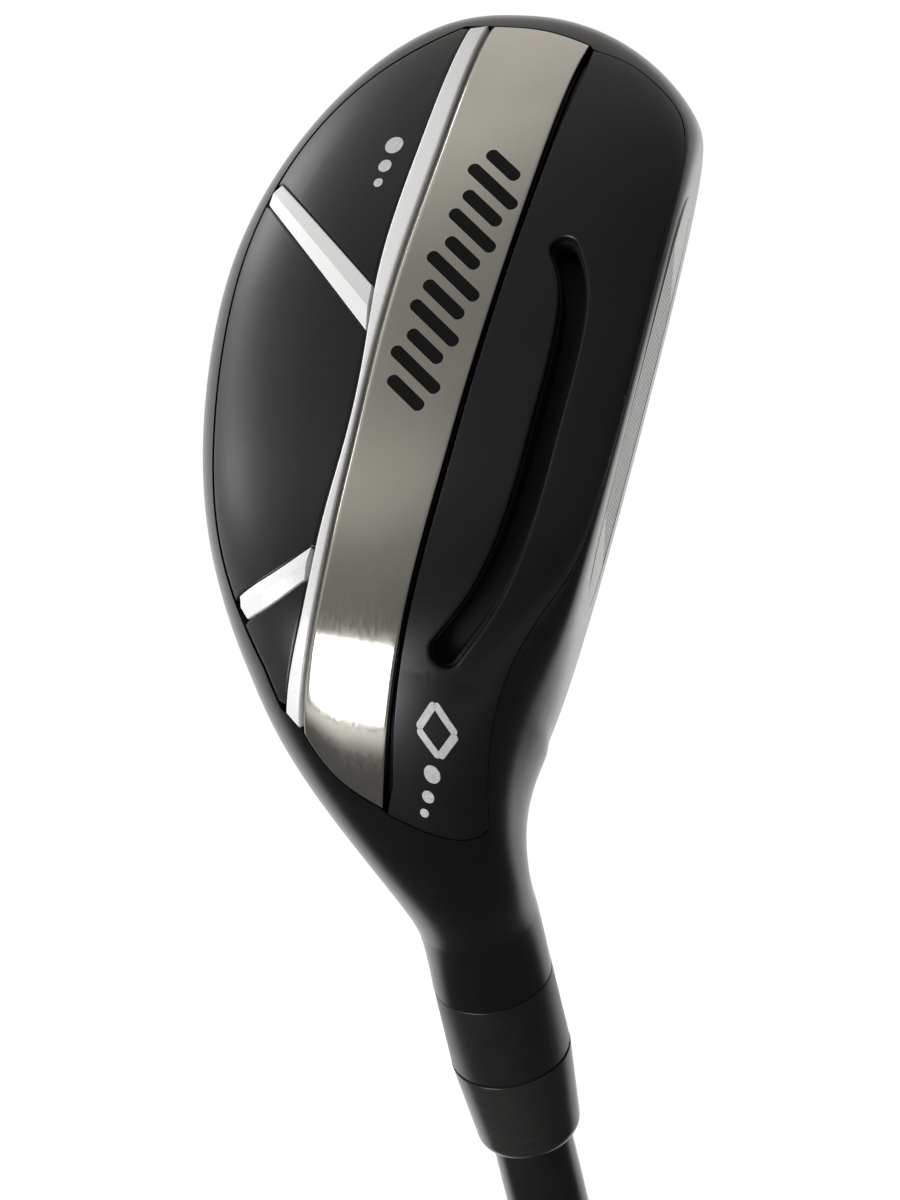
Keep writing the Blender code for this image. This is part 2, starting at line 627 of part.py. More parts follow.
def main():
    for obj in list(bpy.data.objects):
        bpy.data.objects.remove(obj, do_unlink=True)
    looks = {
        "gloss": ("black_gloss_paint", (0.012, 0.012, 0.013), 0.12, 0.0),
        "satin": ("black_satin_paint", (0.02, 0.02, 0.021), 0.42, 0.0),
        "steel": ("brushed_steel", (0.56, 0.55, 0.50), 0.2, 1.0),
        "silver": ("silver_paint", (0.75, 0.76, 0.76), 0.3, 0.3),
        "face": ("blasted_steel", (0.38, 0.38, 0.36), 0.45, 0.9),
        "slot": ("slot_polymer", (0.01, 0.01, 0.01), 0.6, 0.0),
        "tungsten": ("weight_alloy", (0.3, 0.3, 0.29), 0.5, 0.9),
        "glue": ("hot_melt", (0.7, 0.62, 0.4), 0.5, 0.0),
        "cork": ("hosel_plug_foam", (0.55, 0.4, 0.25), 0.8, 0.0),
        "brass": ("brass", (0.75, 0.55, 0.25), 0.35, 1.0),
        "collar": ("collar_aluminium", (0.02, 0.02, 0.022), 0.25, 0.6),
        "ferrule": ("ferrule_plastic", (0.015, 0.015, 0.015), 0.15, 0.0),
        "graphite": ("graphite_shaft", (0.013, 0.013, 0.014), 0.2, 0.0),
        "tape": ("grip_tape_paper", (0.6, 0.55, 0.42), 0.8, 0.0),
        "rubber": ("grip_rubber", (0.02, 0.02, 0.02), 0.75, 0.0),
        "cap": ("grip_cap_rubber", (0.025, 0.025, 0.025), 0.6, 0.0),
    }
    mats = {key: material(*look) for key, look in looks.items()}
    body = build_body(mats["gloss"])
    cut(body, build_cavity())
    cut(body, build_bore())
    cut(body, slab("sole_pocket_cutter", sole_pocket_grid(), -1.5, POCKET, None))
    cut(body, slab("slot_trench_cutter", band(SLOT_MIDDLE, SLOT_WIDTH, 19), 0.8, SLOT_DEPTH + 2.0, None))
    build_sole_plates(mats)
    insert = band(SLOT_MIDDLE, SLOT_WIDTH, 19, GAP)
    slab("slot_insert", insert, PLATE + 0.6, SLOT_DEPTH, mats["slot"])
    build_crown(body, mats["gloss"])
    build_face(body, mats["face"])
    build_inner(mats)
    build_shaft(mats)
    build_grip(mats)


main()
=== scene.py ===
# Looks of a right-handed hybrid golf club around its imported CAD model. The head is shaped in its
# own axes, in millimetres: t to the toe, b to the back, h up from the ground at address. A plan
# point is (w, b), where the station w runs along the sole. to_club() gives the club's metres.
import math

import bmesh
import bpy
import numpy as np
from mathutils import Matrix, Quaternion, Vector


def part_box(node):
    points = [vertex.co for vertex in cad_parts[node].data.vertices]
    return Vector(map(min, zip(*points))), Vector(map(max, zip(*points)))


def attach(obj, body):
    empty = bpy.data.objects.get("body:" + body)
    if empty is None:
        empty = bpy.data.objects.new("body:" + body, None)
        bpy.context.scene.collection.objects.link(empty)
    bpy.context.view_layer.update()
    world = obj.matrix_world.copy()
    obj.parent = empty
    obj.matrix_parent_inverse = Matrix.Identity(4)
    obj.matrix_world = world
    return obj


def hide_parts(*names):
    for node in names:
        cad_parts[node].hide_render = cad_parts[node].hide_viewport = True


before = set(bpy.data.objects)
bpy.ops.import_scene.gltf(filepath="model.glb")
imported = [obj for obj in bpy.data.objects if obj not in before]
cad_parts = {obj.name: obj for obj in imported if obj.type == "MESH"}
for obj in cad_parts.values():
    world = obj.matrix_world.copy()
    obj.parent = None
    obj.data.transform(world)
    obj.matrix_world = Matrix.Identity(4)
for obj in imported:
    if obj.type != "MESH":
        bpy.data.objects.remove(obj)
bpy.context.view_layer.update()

MM = 0.001
FINE = 2

# Head and neck, as in the CAD
LIE = math.radians(60.0)
LOFT = math.radians(20.0)
FACE_CLOSED = math.radians(3.0)
HOSEL_END = 51.6
PIVOT_REACH = 18.0
PIVOT_ALONG = 43.0
SWING = 34.0
TOE = 81.3
TOE_BACK = 8.6
TOE_HEIGHT = 17.0
LEADING_EDGE = 19.7
EDGE_ROUNDING = 2.2
FACE_HEEL = (-23.6, -3.8)
GAP = 0.3
PLATE = 1.2
POCKET = 1.65
SEAM = 0.1
FRONT_SEAM = 0.025
CLUB_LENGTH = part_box("hosel_collar")[1].z / MM + HOSEL_END + GAP / 2
PIVOT_T = PIVOT_REACH * math.sin(LIE) - PIVOT_ALONG * math.cos(LIE)
PIVOT_H = PIVOT_ALONG * math.sin(LIE) + PIVOT_REACH * math.cos(LIE)
NECK_START = PIVOT_T - SWING * LIE
NECK_END = NECK_START - (HOSEL_END - PIVOT_ALONG)

# Key sections: station, then back, front, sole, waist, crown and sole centre
SECTION_NAMES = ("back", "front", "sole", "waist", "crown", "sole_centre")
SECTIONS = (
    (NECK_END, 6.9, -6.9, 24.9, 18.0, 11.1, 0.0),
    (NECK_START, 6.9, -6.9, 24.9, 18.0, 11.1, 0.0),
    (-29.8, 8.6, -7.5, 29.0, 21.2, 12.4, 0.0),
    (-18.0, 13.8, -8.1, 36.0, 25.2, 13.2, 4.0),
    (PIVOT_T, 20.8, -11.6, 45.4, 32.2, 15.0, 8.0),
    (20.0, 33.6, -24.2, 46.1, 31.5, 11.7, 9.0),
    (45.0, 36.9, -25.3, 45.1, 29.6, 10.0, 8.0),
    (TOE, 30.9, -23.0, 42.2, 29.2, 9.5, 8.0),
)
CLOSING = {"back": (37.5, 2.46), "front": (44.7, 2.06), "sole": (40.0, 2.2), "crown": (45.0, 2.2)}
ROUNDNESS = (2.6, 2.4, 2.2, 2.6)

# Outlines on the sole
STRIP_FRONT = ((-17.8, 3.2), (-9.0, 1.0), (5.0, -0.6), (25.0, -0.7), (50.0, -2.8), (75.0, -3.2))
STRIP_BACK = ((-10.9, 12.0), (-3.0, 10.4), (15.0, 10.5), (35.0, 11.0), (55.0, 9.4), (77.3, 9.8))
STRIP_TOE = ((75.0, -3.2), (76.9, 3.0), (77.3, 9.8))
STRIP_HEEL = ((-17.8, 3.2), (-15.0, 8.2), (-10.9, 12.0))
SPINE_BACK = (
    (-9.6, 13.9), (-2.5, 11.9), (10.0, 11.5), (31.0, 12.1), (40.0, 12.6), (57.0, 11.9), (76.8, 12.1),
)
PLATE_FRONT = (
    (-19.3, -6.95), (-16.0, -7.45), (-12.0, -8.25), (-8.0, -9.4), (-4.0, -10.9), (0.0, -12.7),
    (4.0, -14.7), (8.0, -16.7), (12.0, -18.1), (18.0, -18.9), (30.0, -19.1), (46.0, -19.1),
    (55.0, -18.9), (60.0, -18.4), (63.8, -17.4),
)
PLATE_TOE = ((63.8, -17.4), (65.95, -16.4), (68.65, -14.4), (71.05, -11.5), (72.9, -8.5), (74.2, -3.9))
PLATE_HEEL = ((-19.3, -6.95), (-20.3, -6.3), (-20.8, -5.2), (-20.7, -3.4), (-20.0, -1.2), (-18.3, 2.75))
REAR_EDGE = (
    (-9.2, 14.6), (-3.0, 18.9), (5.0, 23.8), (19.0, 29.6), (36.0, 32.4), (52.4, 30.9), (66.0, 24.8),
    (77.3, 12.9),
)
TOE_SPOKE_TOP = ((39.9, 13.0), (45.3, 19.1), (54.2, 29.2))
TOE_SPOKE_LOW = ((34.3, 12.5), (43.9, 22.3), (51.6, 30.3))
HEEL_SPOKE_TOP = ((6.7, 11.9), (3.6, 16.0), (1.6, 20.6))
HEEL_SPOKE_LOW = ((2.8, 11.9), (-0.3, 16.7), (-1.0, 19.2))
STRIP_SLIT = 0.75
STRIP_CHAMFER = (0.7, 0.36)
SLOT_MIDDLE = (
    (-4.7, -4.1), (2.0, -8.2), (9.0, -10.2), (24.0, -10.9), (36.0, -11.2), (42.5, -10.3), (47.2, -7.9),
)
SLOT_HALF_WIDTH = 1.6
SLOT_FLOOR = 4.4
SLOT_DEPTH = 5.2

# Crown plate outline
CROWN_FRONT = ((0.0, -3.0), (20.0, -4.2), (45.0, -5.4), (66.0, -4.0))
CROWN_BACK = ((0.0, 16.0), (18.0, 26.0), (40.0, 30.6), (58.0, 24.6), (68.0, 14.0))
CROWN_HEEL = ((0.0, -3.0), (-1.5, 6.0), (0.0, 16.0))
CROWN_TOE = ((66.0, -4.0), (70.0, 5.0), (68.0, 14.0))
CROWN_PLATE = 1.0

# Where the pocket's ends turn from the strip to the spine, and where its cutters start
HEEL_TURN = (-10.2, 12.9)
TOE_TURN = (77.25, 11.0)
CUT_ABOVE = -1.5
FACE_CUT_ABOVE = -3.0
TRENCH_TOP = 0.8

# Face plate, and its scorelines as distances up the face and along it
FACE_MIDDLE = (34.5, 19.3)
FACE_HALF_LENGTH = 24.0
FACE_HALF_HEIGHT = 10.6
FACE_TAPER = 0.6
FACE_ROUNDNESS = 3.2
FACE_PLATE = 2.4
FACE_SET_BACK = 0.16
SCORE_FIRST = 10.9
SCORE_PITCH = 2.4
SCORE_COUNT = 8
SCORE_ENDS = (18.0, 50.0)

# Neck rings and grip: radii, and (place along the grip, radius) or (radius, depth) points
NECK_BORE = 4.95
COLLAR_RADII = (6.9, 6.95)
FERRULE_RADII = (7.0, 6.1)
FERRULE_NOSE = (1.05, 1.6)
RING_EDGE = 0.12
BUTT_RADIUS = 13.3
MOUTH_RADIUS = 8.8
VENT_RADIUS = 2.0
GRIP_OUTLINE = ((14.0, 13.1), (60.0, 12.4), (150.0, 11.0), (240.0, 10.2), (262.0, 9.8), (267.0, 9.3))
CAP_GROOVE = ((8.6, 0.0), (8.9, 0.35), (9.3, 0.35), (9.6, 0.0))

# The photograph's viewpoint: direction from the head, roll, distance and lens
VIEW_AZIMUTH = math.radians(-62.05)
VIEW_ELEVATION = math.radians(35.45)
VIEW_ROLL = math.radians(13.5)
VIEW_DISTANCE = 0.75
VIEW_TARGET = Vector((0.016404, 0.002771, 1.005340))
VIEW_LENS = 200.25


# -------- surface of the head

def spline(points):
    """A natural cubic spline through (x, y) points, as value(x) for arrays."""
    xs, ys = np.array(points, float).T
    step = np.diff(xs)
    rise = np.diff(ys) / step
    size = len(xs)
    matrix, right = np.eye(size), np.zeros(size)
    for i in range(1, size - 1):
        matrix[i, i - 1:i + 2] = (step[i - 1], 2 * (step[i - 1] + step[i]), step[i])
        right[i] = 6 * (rise[i] - rise[i - 1])
    bend = np.linalg.solve(matrix, right)

    def value(x):
        x = np.asarray(x, float)
        i = np.clip(np.searchsorted(xs, x) - 1, 0, size - 2)
        a, c, s = xs[i + 1] - x, x - xs[i], step[i]
        line = (ys[i] / s - bend[i] * s / 6) * a + (ys[i + 1] / s - bend[i + 1] * s / 6) * c
        return line + (bend[i] * a ** 3 + bend[i + 1] * c ** 3) / (6 * s)

    return value


PROFILE = {name: spline([(row[0], row[k + 1]) for row in SECTIONS]) for k, name in enumerate(SECTION_NAMES)}
POLE = {"back": TOE_BACK, "front": TOE_BACK, "sole": PIVOT_H - TOE_HEIGHT, "crown": PIVOT_H - TOE_HEIGHT}


def ease(x):
    x = np.clip(x, 0.0, 1.0)
    return x * x * (3 - 2 * x)


def closing(x, power):
    return (1 - np.clip(x, 0.0, 1.0) ** power) ** (1 / power)


def section(w):
    """The extremes of the head's section at station w."""
    out = {name: PROFILE[name](w) for name in SECTION_NAMES}
    for name, (start, power) in CLOSING.items():
        out[name] = POLE[name] + (out[name] - POLE[name]) * closing((w - start) / (TOE - start), power)
    start = CLOSING["back"][0]
    shrink = closing((w - start) / (TOE - start), 2.0)
    out["sole_centre"] = TOE_BACK + (out["sole_centre"] - TOE_BACK) * shrink
    out["crown_centre"] = TOE_BACK * (1 - shrink)
    out["waist"] = POLE["sole"] + (out["waist"] - POLE["sole"]) * shrink
    out["body"] = ease((w - NECK_START) / (PIVOT_T + 8.0 - NECK_START))
    return out


def face_line(t, h):
    return h * math.tan(LOFT) - t * math.tan(FACE_CLOSED) - LEADING_EDGE


def place(w, b, reach):
    """Points of station w in head axes, after the flat face has trimmed the front."""
    swing = np.clip((PIVOT_T - w) / SWING, 0.0, LIE)
    neck = np.maximum(NECK_START - w, 0.0)
    t = PIVOT_T - reach * np.sin(swing) + np.maximum(w - PIVOT_T, 0.0) - neck * math.cos(LIE)
    h = PIVOT_H - reach * np.cos(swing) + neck * math.sin(LIE)
    away = ease((FACE_HEEL[1] - t) / (FACE_HEEL[1] - FACE_HEEL[0])) * 40.0
    face = face_line(t, h) - away
    over = b - face
    return np.stack([t, face + 0.5 * (over + np.hypot(over, EDGE_ROUNDING)), h], -1)


def skin(w, b, crown=False):
    """The outer surface over plan points."""
    s = section(w)
    centre = s["crown_centre" if crown else "sole_centre"]
    front = b < centre
    side = np.where(front, s["front"], s["back"])
    power = np.where(front, ROUNDNESS[3 if crown else 0], ROUNDNESS[2 if crown else 1])
    power = 2 + (power - 2) * s["body"]
    across = np.clip(np.abs((b - centre) / (side - centre)), 0.0, 0.9999)
    up = (1 - across ** power) ** (1 / power)
    tip = s["crown" if crown else "sole"]
    return place(w, b, s["waist"] + (tip - s["waist"]) * up)


def skin_at(plan, depth, crown=False):
    """Points a depth below the outer surface, along its normal. Plan holds (w, b) pairs."""
    w, b = plan[..., 0], plan[..., 1]
    step = 0.05
    along = skin(w + step, b, crown) - skin(w - step, b, crown)
    across = skin(w, b + step, crown) - skin(w, b - step, crown)
    normal = np.cross(along, across)
    normal /= np.linalg.norm(normal, axis=-1, keepdims=True)
    inward = normal * np.sign(normal[..., 2:]) * (-1 if crown else 1)
    return skin(w, b, crown) + inward * np.asarray(depth, float)[..., None]


def ring(w, count):
    """The closed sections at stations w, as rows of count points."""
    w = np.asarray(w, float)[:, None]
    angle = 2 * math.pi * np.arange(count) / count
    angle = (angle + 0.12 * np.sin(4 * angle))[None, :]
    c, d = np.cos(angle), np.sin(angle)
    s = section(w)
    low, front = d >= 0, c >= 0
    power = np.where(low, np.where(front, *ROUNDNESS[:2]), np.where(front, ROUNDNESS[3], ROUNDNESS[2]))
    power = 2 + (power - 2) * s["body"]
    size = (np.abs(c) ** power + np.abs(d) ** power) ** (-1 / power)
    centre = np.where(low, s["sole_centre"], s["crown_centre"])
    side = np.where(front, s["front"], s["back"])
    tip = np.where(low, s["sole"], s["crown"])
    b = centre + (side - centre) * np.abs(c) * size
    return place(w, b, s["waist"] + (tip - s["waist"]) * np.abs(d) * size)


def to_club(p):
    """From head axes in millimetres to the club's axes in metres."""
    p = np.asarray(p, float)
    x = p[..., 0] * math.sin(LIE) + p[..., 2] * math.cos(LIE)
    z = p[..., 0] * math.cos(LIE) - p[..., 2] * math.sin(LIE) + CLUB_LENGTH
    return np.stack([x, p[..., 1], z], -1) * MM


# -------- lines on the plan

def lengths(line):
    return np.concatenate([[0.0], np.cumsum(np.linalg.norm(np.diff(line, axis=0), axis=1))])


def curve(points, count=241):
    """A smooth line through the points, as count places spaced by its length."""
    spots = np.array(points, float)
    chord = lengths(spots)
    at = np.linspace(0.0, chord[-1], count)
    if len(spots) == 2:
        return spots[0] + (spots[1] - spots[0]) * (at / chord[-1])[:, None]
    along = [spline(np.stack([chord, spots[:, k]], 1))(at) for k in (0, 1)]
    return np.stack(along, 1)


def along(line, shares):
    """Places at the given shares of a line's length."""
    chord = lengths(line)
    at = np.asarray(shares) * chord[-1]
    return np.stack([np.interp(at, chord, line[:, k]) for k in (0, 1)], 1)


def left_of(way):
    """Unit vectors to the left of the ways given."""
    way = way / np.linalg.norm(way, axis=-1, keepdims=True)
    return np.stack([-way[..., 1], way[..., 0]], -1)


def shifted(line, distance):
    """The line moved sideways, to the left of its direction when the distance is positive."""
    return line + left_of(np.gradient(line, axis=0)) * distance


def between(line, first, last):
    return line[(line[:, 0] > first) & (line[:, 0] < last)]


def joined(*parts):
    return np.concatenate([np.atleast_2d(np.array(p, float)) for p in parts])


def edge_spaced(count, length, radius):
    """Shares from 0 to 1, closer together over the rounded edges at both ends."""
    turn = radius * (1 - np.cos(np.linspace(0.0, math.pi / 2, 6)[:-1])) / length
    edge = min(radius / length, 0.3)
    turn = np.minimum(turn, edge * 0.95)
    return np.concatenate([turn, np.linspace(edge, 1 - edge, count), 1 - turn[::-1]])


def patch(borders, u, v):
    """Plan points inside front, back, heel and toe border lines, at shares u and v."""
    front, back, heel, toe = borders
    f, k, h, t = along(front, u), along(back, u), along(heel, v), along(toe, v)
    u, v = u[:, None, None], v[None, :, None]
    start = (1 - v) * f[0] + v * k[0]
    end = (1 - v) * f[-1] + v * k[-1]
    sides = (1 - v) * f[:, None] + v * k[:, None]
    return sides + (1 - u) * (h[None] - start) + u * (t[None] - end)


def edge_drop(distance, radius):
    """How far a rounded edge has fallen, at a distance in from it."""
    rest = radius - np.clip(distance, 0.0, radius)
    return radius - np.sqrt(np.maximum(radius ** 2 - rest ** 2, 0.0))


# -------- meshes

def quads(rows, columns, wrap=False, start=0):
    """The faces of a grid of points, closed around its columns when wrap is true."""
    i, j = np.meshgrid(np.arange(rows - 1), np.arange(columns if wrap else columns - 1), indexing="ij")
    a = i * columns + j
    b = i * columns + (j + 1) % columns
    return (np.stack([a, b, b + columns, a + columns], -1).reshape(-1, 4) + start).tolist()


def mesh_object(name, points, faces, look=None, smooth=35.0):
    mesh = bpy.data.meshes.new(name)
    mesh.from_pydata(np.asarray(points).reshape(-1, 3).tolist(), [], faces)
    work = bmesh.new()
    work.from_mesh(mesh)
    bmesh.ops.recalc_face_normals(work, faces=work.faces)
    work.to_mesh(mesh)
    work.free()
    mesh.shade_smooth()
    mesh.set_sharp_from_angle(angle=math.radians(smooth))
    obj = bpy.data.objects.new(name, mesh)
    bpy.context.scene.collection.objects.link(obj)
    if look:
        mesh.materials.append(look)
    return obj


def piece(obj, slot, *nodes):
    """Hides the CAD nodes that a finished piece stands for, and hangs it on the root body. The slot, its
    finish, is not used.
    """
    if nodes:
        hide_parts(*nodes)
    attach(obj, "root")
    return obj


def rim_of(rows, columns):
    """The indices round a grid's border."""
    ids = np.arange(rows * columns).reshape(rows, columns)
    return np.concatenate([ids[0], ids[1:, -1], ids[-1, -2::-1], ids[-2:0:-1, 0]])


def slab_mesh(plan, top, bottom, crown=False):
    """Points and faces of a closed plate over a plan grid, between two depths."""
    rows, columns = plan.shape[:2]
    size = rows * columns
    low = np.full((rows, columns), float(bottom))
    high = np.broadcast_to(top, (rows, columns))
    points = np.concatenate([skin_at(plan, depth, crown).reshape(-1, 3) for depth in (high, low)])
    faces = quads(rows, columns) + quads(rows, columns, start=size)
    rim = rim_of(rows, columns)
    faces += [(a, b, b + size, a + size) for a, b in zip(rim.tolist(), np.roll(rim, -1).tolist())]
    return to_club(points), faces


def plate(name, borders, rows, columns, look, radius=0.2, top=0.0, bottom=PLATE, chamfer=None, crown=False):
    """A plate with rounded edges inside four border lines. A chamfer (width, depth) is on its back edge."""
    u = edge_spaced(rows, lengths(borders[0])[-1], radius)
    v = edge_spaced(columns, lengths(borders[3])[-1], radius)
    plan = patch(borders, u, v)
    sides = [plan[:, :1], plan[:, -1:], plan[:1], plan[-1:]]
    near = np.min([np.linalg.norm(plan - side, axis=-1) for side in sides], axis=0)
    depth = top + edge_drop(near, radius)
    if chamfer:
        reach = np.linalg.norm(plan - plan[:, -1:], axis=-1)
        depth = depth + chamfer[1] * np.clip(1 - reach / chamfer[0], 0.0, 1.0)
    points, faces = slab_mesh(plan, depth, bottom, crown)
    return mesh_object(name, points, faces, look)


def tube(name, rows, look=None, pole=None):
    """A closed solid through rows of points, with flat ends or a pole at the last end."""
    count = rows.shape[1]
    faces = [tuple(range(count))] + quads(len(rows), count, wrap=True)
    points = rows.reshape(-1, 3)
    last = (len(rows) - 1) * count
    if pole is None:
        faces.append(tuple(range(last, last + count)))
    else:
        points = np.concatenate([points, [pole]])
        faces += [(last + k, last + (k + 1) % count, last + count) for k in range(count)]
    return mesh_object(name, points, faces, look)


def lathe(name, profile, look, steps=144, wave=None):
    """A ring turned about the shaft axis from a closed profile of (radius, z) in millimetres."""
    profile = np.array(profile, float)
    angle = 2 * math.pi * np.arange(steps) / steps
    radius = np.broadcast_to(profile[:, 0], (steps, len(profile))).copy()
    if wave is not None:
        radius = radius + wave(angle[:, None], profile[None, :, 1], radius)
    points = np.stack([radius * np.cos(angle)[:, None], radius * np.sin(angle)[:, None],
                       np.broadcast_to(profile[:, 1], radius.shape)], -1) * MM
    size = len(profile)
    faces = []
    for k in range(steps):
        a, b = k * size, (k + 1) % steps * size
        faces += [(a + i, a + (i + 1) % size, b + (i + 1) % size, b + i) for i in range(size)]
    return mesh_object(name, points, faces, look)


def rounded(corner_from, corner, corner_to, radius, steps=5):
    """A profile's corner, rounded with an arc."""
    p, a, b = (np.array(x, float) for x in (corner, corner_from, corner_to))
    a = p + (a - p) / np.linalg.norm(a - p) * radius
    b = p + (b - p) / np.linalg.norm(b - p) * radius
    share = np.linspace(0.0, 1.0, steps)[:, None]
    return ((1 - share) ** 2 * a + 2 * share * (1 - share) * p + share ** 2 * b).tolist()


def carve(obj, cutters):
    """Cuts the solids out of obj and keeps the result as its mesh."""
    for cutter in cutters:
        modifier = obj.modifiers.new(cutter.name, "BOOLEAN")
        modifier.operation = "DIFFERENCE"
        modifier.solver = "EXACT"
        modifier.object = cutter
    bpy.context.view_layer.update()
    shaped = bpy.data.meshes.new_from_object(obj.evaluated_get(bpy.context.evaluated_depsgraph_get()))
    obj.modifiers.clear()
    obj.data = shaped
    shaped.set_sharp_from_angle(angle=math.radians(35.0))
    for cutter in cutters:
        bpy.data.objects.remove(cutter)
    return obj


# -------- materials

class Look:
    """A Principled material and short ways to add its nodes. Scales are features per metre."""

    def __init__(self, name, **sockets):
        self.material = bpy.data.materials.new(name)
        self.material.use_nodes = True
        self.tree = self.material.node_tree
        self.shader = self.tree.nodes["Principled BSDF"]
        for socket, value in sockets.items():
            self.shader.inputs[socket.replace("_", " ")].default_value = value
        self.place = self.node("TexCoord").outputs["Object"]

    def node(self, kind, **inputs):
        made = self.tree.nodes.new("ShaderNode" + kind)
        for key, value in inputs.items():
            self.feed(made.inputs[key.replace("_", " ")], value)
        return made

    def feed(self, socket, value):
        if isinstance(value, bpy.types.NodeSocket):
            self.tree.links.new(value, socket)
        else:
            socket.default_value = value

    def stretched(self, stretch, at=None):
        """The place, or the one given, with a stretch of each axis."""
        return self.node("Mapping", Vector=at or self.place, Scale=stretch).outputs[0]

    def head_axes(self, stretch):
        """The place in axes along the sole, to the back and down, with a stretch of each."""
        turned = self.node("Mapping", Vector=self.place, Rotation=(0.0, math.pi / 2 - LIE, 0.0))
        return self.stretched(stretch, turned.outputs[0])

    def noise(self, scale, detail=2.0, at=None):
        return self.node("TexNoise", Vector=at or self.place, Scale=scale, Detail=detail).outputs["Fac"]

    def cells(self, scale):
        return self.node("TexVoronoi", Vector=self.place, Scale=scale).outputs["Distance"]

    def span(self, value, low, high):
        limits = {"From_Min": 0.3, "From_Max": 0.7, "To_Min": low, "To_Max": high}
        return self.node("MapRange", Value=value, **limits).outputs["Result"]

    def colours(self, value, first, second, start=0.3, end=0.7):
        made = self.node("ValToRGB", Fac=value)
        for stop, colour, at in zip(made.color_ramp.elements, (first, second), (start, end)):
            stop.color = (*colour, 1.0)
            stop.position = at
        return made.outputs["Color"]

    def finish(self, colour, roughness, height, depth, strength=1.0):
        """Joins the colour, roughness and bump to the shader, and gives the material."""
        bump = self.node("Bump", Height=height, Distance=depth, Strength=strength)
        made = {"Base Color": colour, "Roughness": roughness, "Normal": bump.outputs["Normal"]}
        for socket, value in made.items():
            self.feed(self.shader.inputs[socket], value)
        return self.material


def gloss_paint():
    look = Look("gloss_black_paint", IOR=1.5)
    broad, fine = look.noise(60.0), look.noise(900.0, 3.0)
    colour = look.colours(broad, (0.003, 0.003, 0.0035), (0.006, 0.006, 0.0065))
    return look.finish(colour, look.span(fine, 0.2, 0.25), look.noise(420.0, 1.0), 0.000004)


def satin_paint():
    look = Look("satin_black_paint", IOR=1.48)
    broad, grain = look.noise(90.0, 3.0), look.noise(5200.0, 2.0)
    colour = look.colours(broad, (0.0035, 0.0035, 0.004), (0.006, 0.006, 0.0066))
    return look.finish(colour, look.span(grain, 0.34, 0.42), grain, 0.000006)


def strip_steel():
    look = Look("polished_strip_steel", Metallic=1.0)
    streaks = look.noise(300.0, 4.0, look.head_axes((0.35, 7.0, 7.0)))
    colour = look.colours(look.noise(70.0, 3.0), (0.56, 0.54, 0.49), (0.64, 0.62, 0.57))
    return look.finish(colour, look.span(streaks, 0.13, 0.19), streaks, 0.0000012)


def silver_paint():
    look = Look("silver_line_paint", Metallic=0.15, IOR=1.5)
    colour = look.colours(look.cells(9000.0), (0.86, 0.87, 0.88), (0.92, 0.92, 0.92), 0.1, 0.6)
    return look.finish(colour, look.span(look.noise(1500.0), 0.26, 0.34), look.noise(400.0), 0.0000015)


def blasted_steel():
    look = Look("blasted_face_steel", Metallic=1.0)
    grit = look.noise(4200.0, 4.0)
    colour = look.colours(look.noise(160.0, 3.0), (0.35, 0.35, 0.335), (0.41, 0.41, 0.39))
    return look.finish(colour, look.span(grit, 0.32, 0.42), grit, 0.000002, 0.6)


def collar_finish():
    look = Look("anodised_collar", IOR=1.5)
    turned = look.noise(260.0, 3.0, look.stretched((1.0, 1.0, 30.0)))
    colour = look.colours(look.noise(200.0), (0.008, 0.008, 0.0085), (0.013, 0.013, 0.0135))
    return look.finish(colour, look.span(turned, 0.3, 0.38), turned, 0.0000006)


def ferrule_plastic():
    look = Look("ferrule_plastic", IOR=1.5)
    wiped = look.noise(240.0, 3.0, look.stretched((1.0, 1.0, 12.0)))
    colour = look.colours(wiped, (0.02, 0.02, 0.0195), (0.026, 0.026, 0.025))
    return look.finish(colour, look.span(wiped, 0.16, 0.24), wiped, 0.0000006)


def shaft_paint():
    look = Look("black_shaft_paint", IOR=1.5)
    plies = look.noise(380.0, 2.0, look.stretched((1.0, 1.0, 0.25)))
    colour = look.colours(plies, (0.007, 0.007, 0.0075), (0.013, 0.013, 0.013))
    return look.finish(colour, look.span(look.noise(1200.0), 0.14, 0.22), plies, 0.000004)


def rubber(name, dark, light, grain_scale):
    look = Look(name, IOR=1.52)
    grain = look.noise(grain_scale, 4.0)
    colour = look.colours(look.noise(120.0, 3.0), dark, light)
    return look.finish(colour, look.span(grain, 0.62, 0.8), grain, 0.00003, 0.6)


def grained(name, dark, light, grain, roughness, depth=0.00001, strength=1.0, **sockets):
    """A material whose colour, roughness and bump follow one grain, a (scale, detail) pair."""
    look = Look(name, **sockets)
    height = look.noise(*grain)
    colour = look.colours(height, dark, light)
    return look.finish(colour, look.span(height, *roughness), height, depth, strength)


def slot_polymer():
    return grained("slot_polymer", (0.002,) * 3, (0.006,) * 3, (2600.0, 3.0), (0.5, 0.7), IOR=1.46)


def mark_black():
    return grained("black_mark_enamel", (0.002,) * 3, (0.004,) * 3, (1800.0, 2.0), (0.4, 0.55), IOR=1.25)


def mark_silver():
    return grained("silver_mark_enamel", (0.55, 0.56, 0.56), (0.7, 0.71, 0.7), (2400.0, 2.0),
                   (0.35, 0.5), IOR=1.5, Metallic=0.1)


def plain_metal(name, dark, light, roughness, scale):
    limits = (roughness - 0.06, roughness + 0.06)
    return grained(name, dark, light, (scale, 4.0), limits, strength=0.5, Metallic=1.0)


def soft_stuff(name, dark, light, scale, depth):
    return grained(name, dark, light, (scale, 5.0), (0.6, 0.85), depth, 0.7, IOR=1.45)


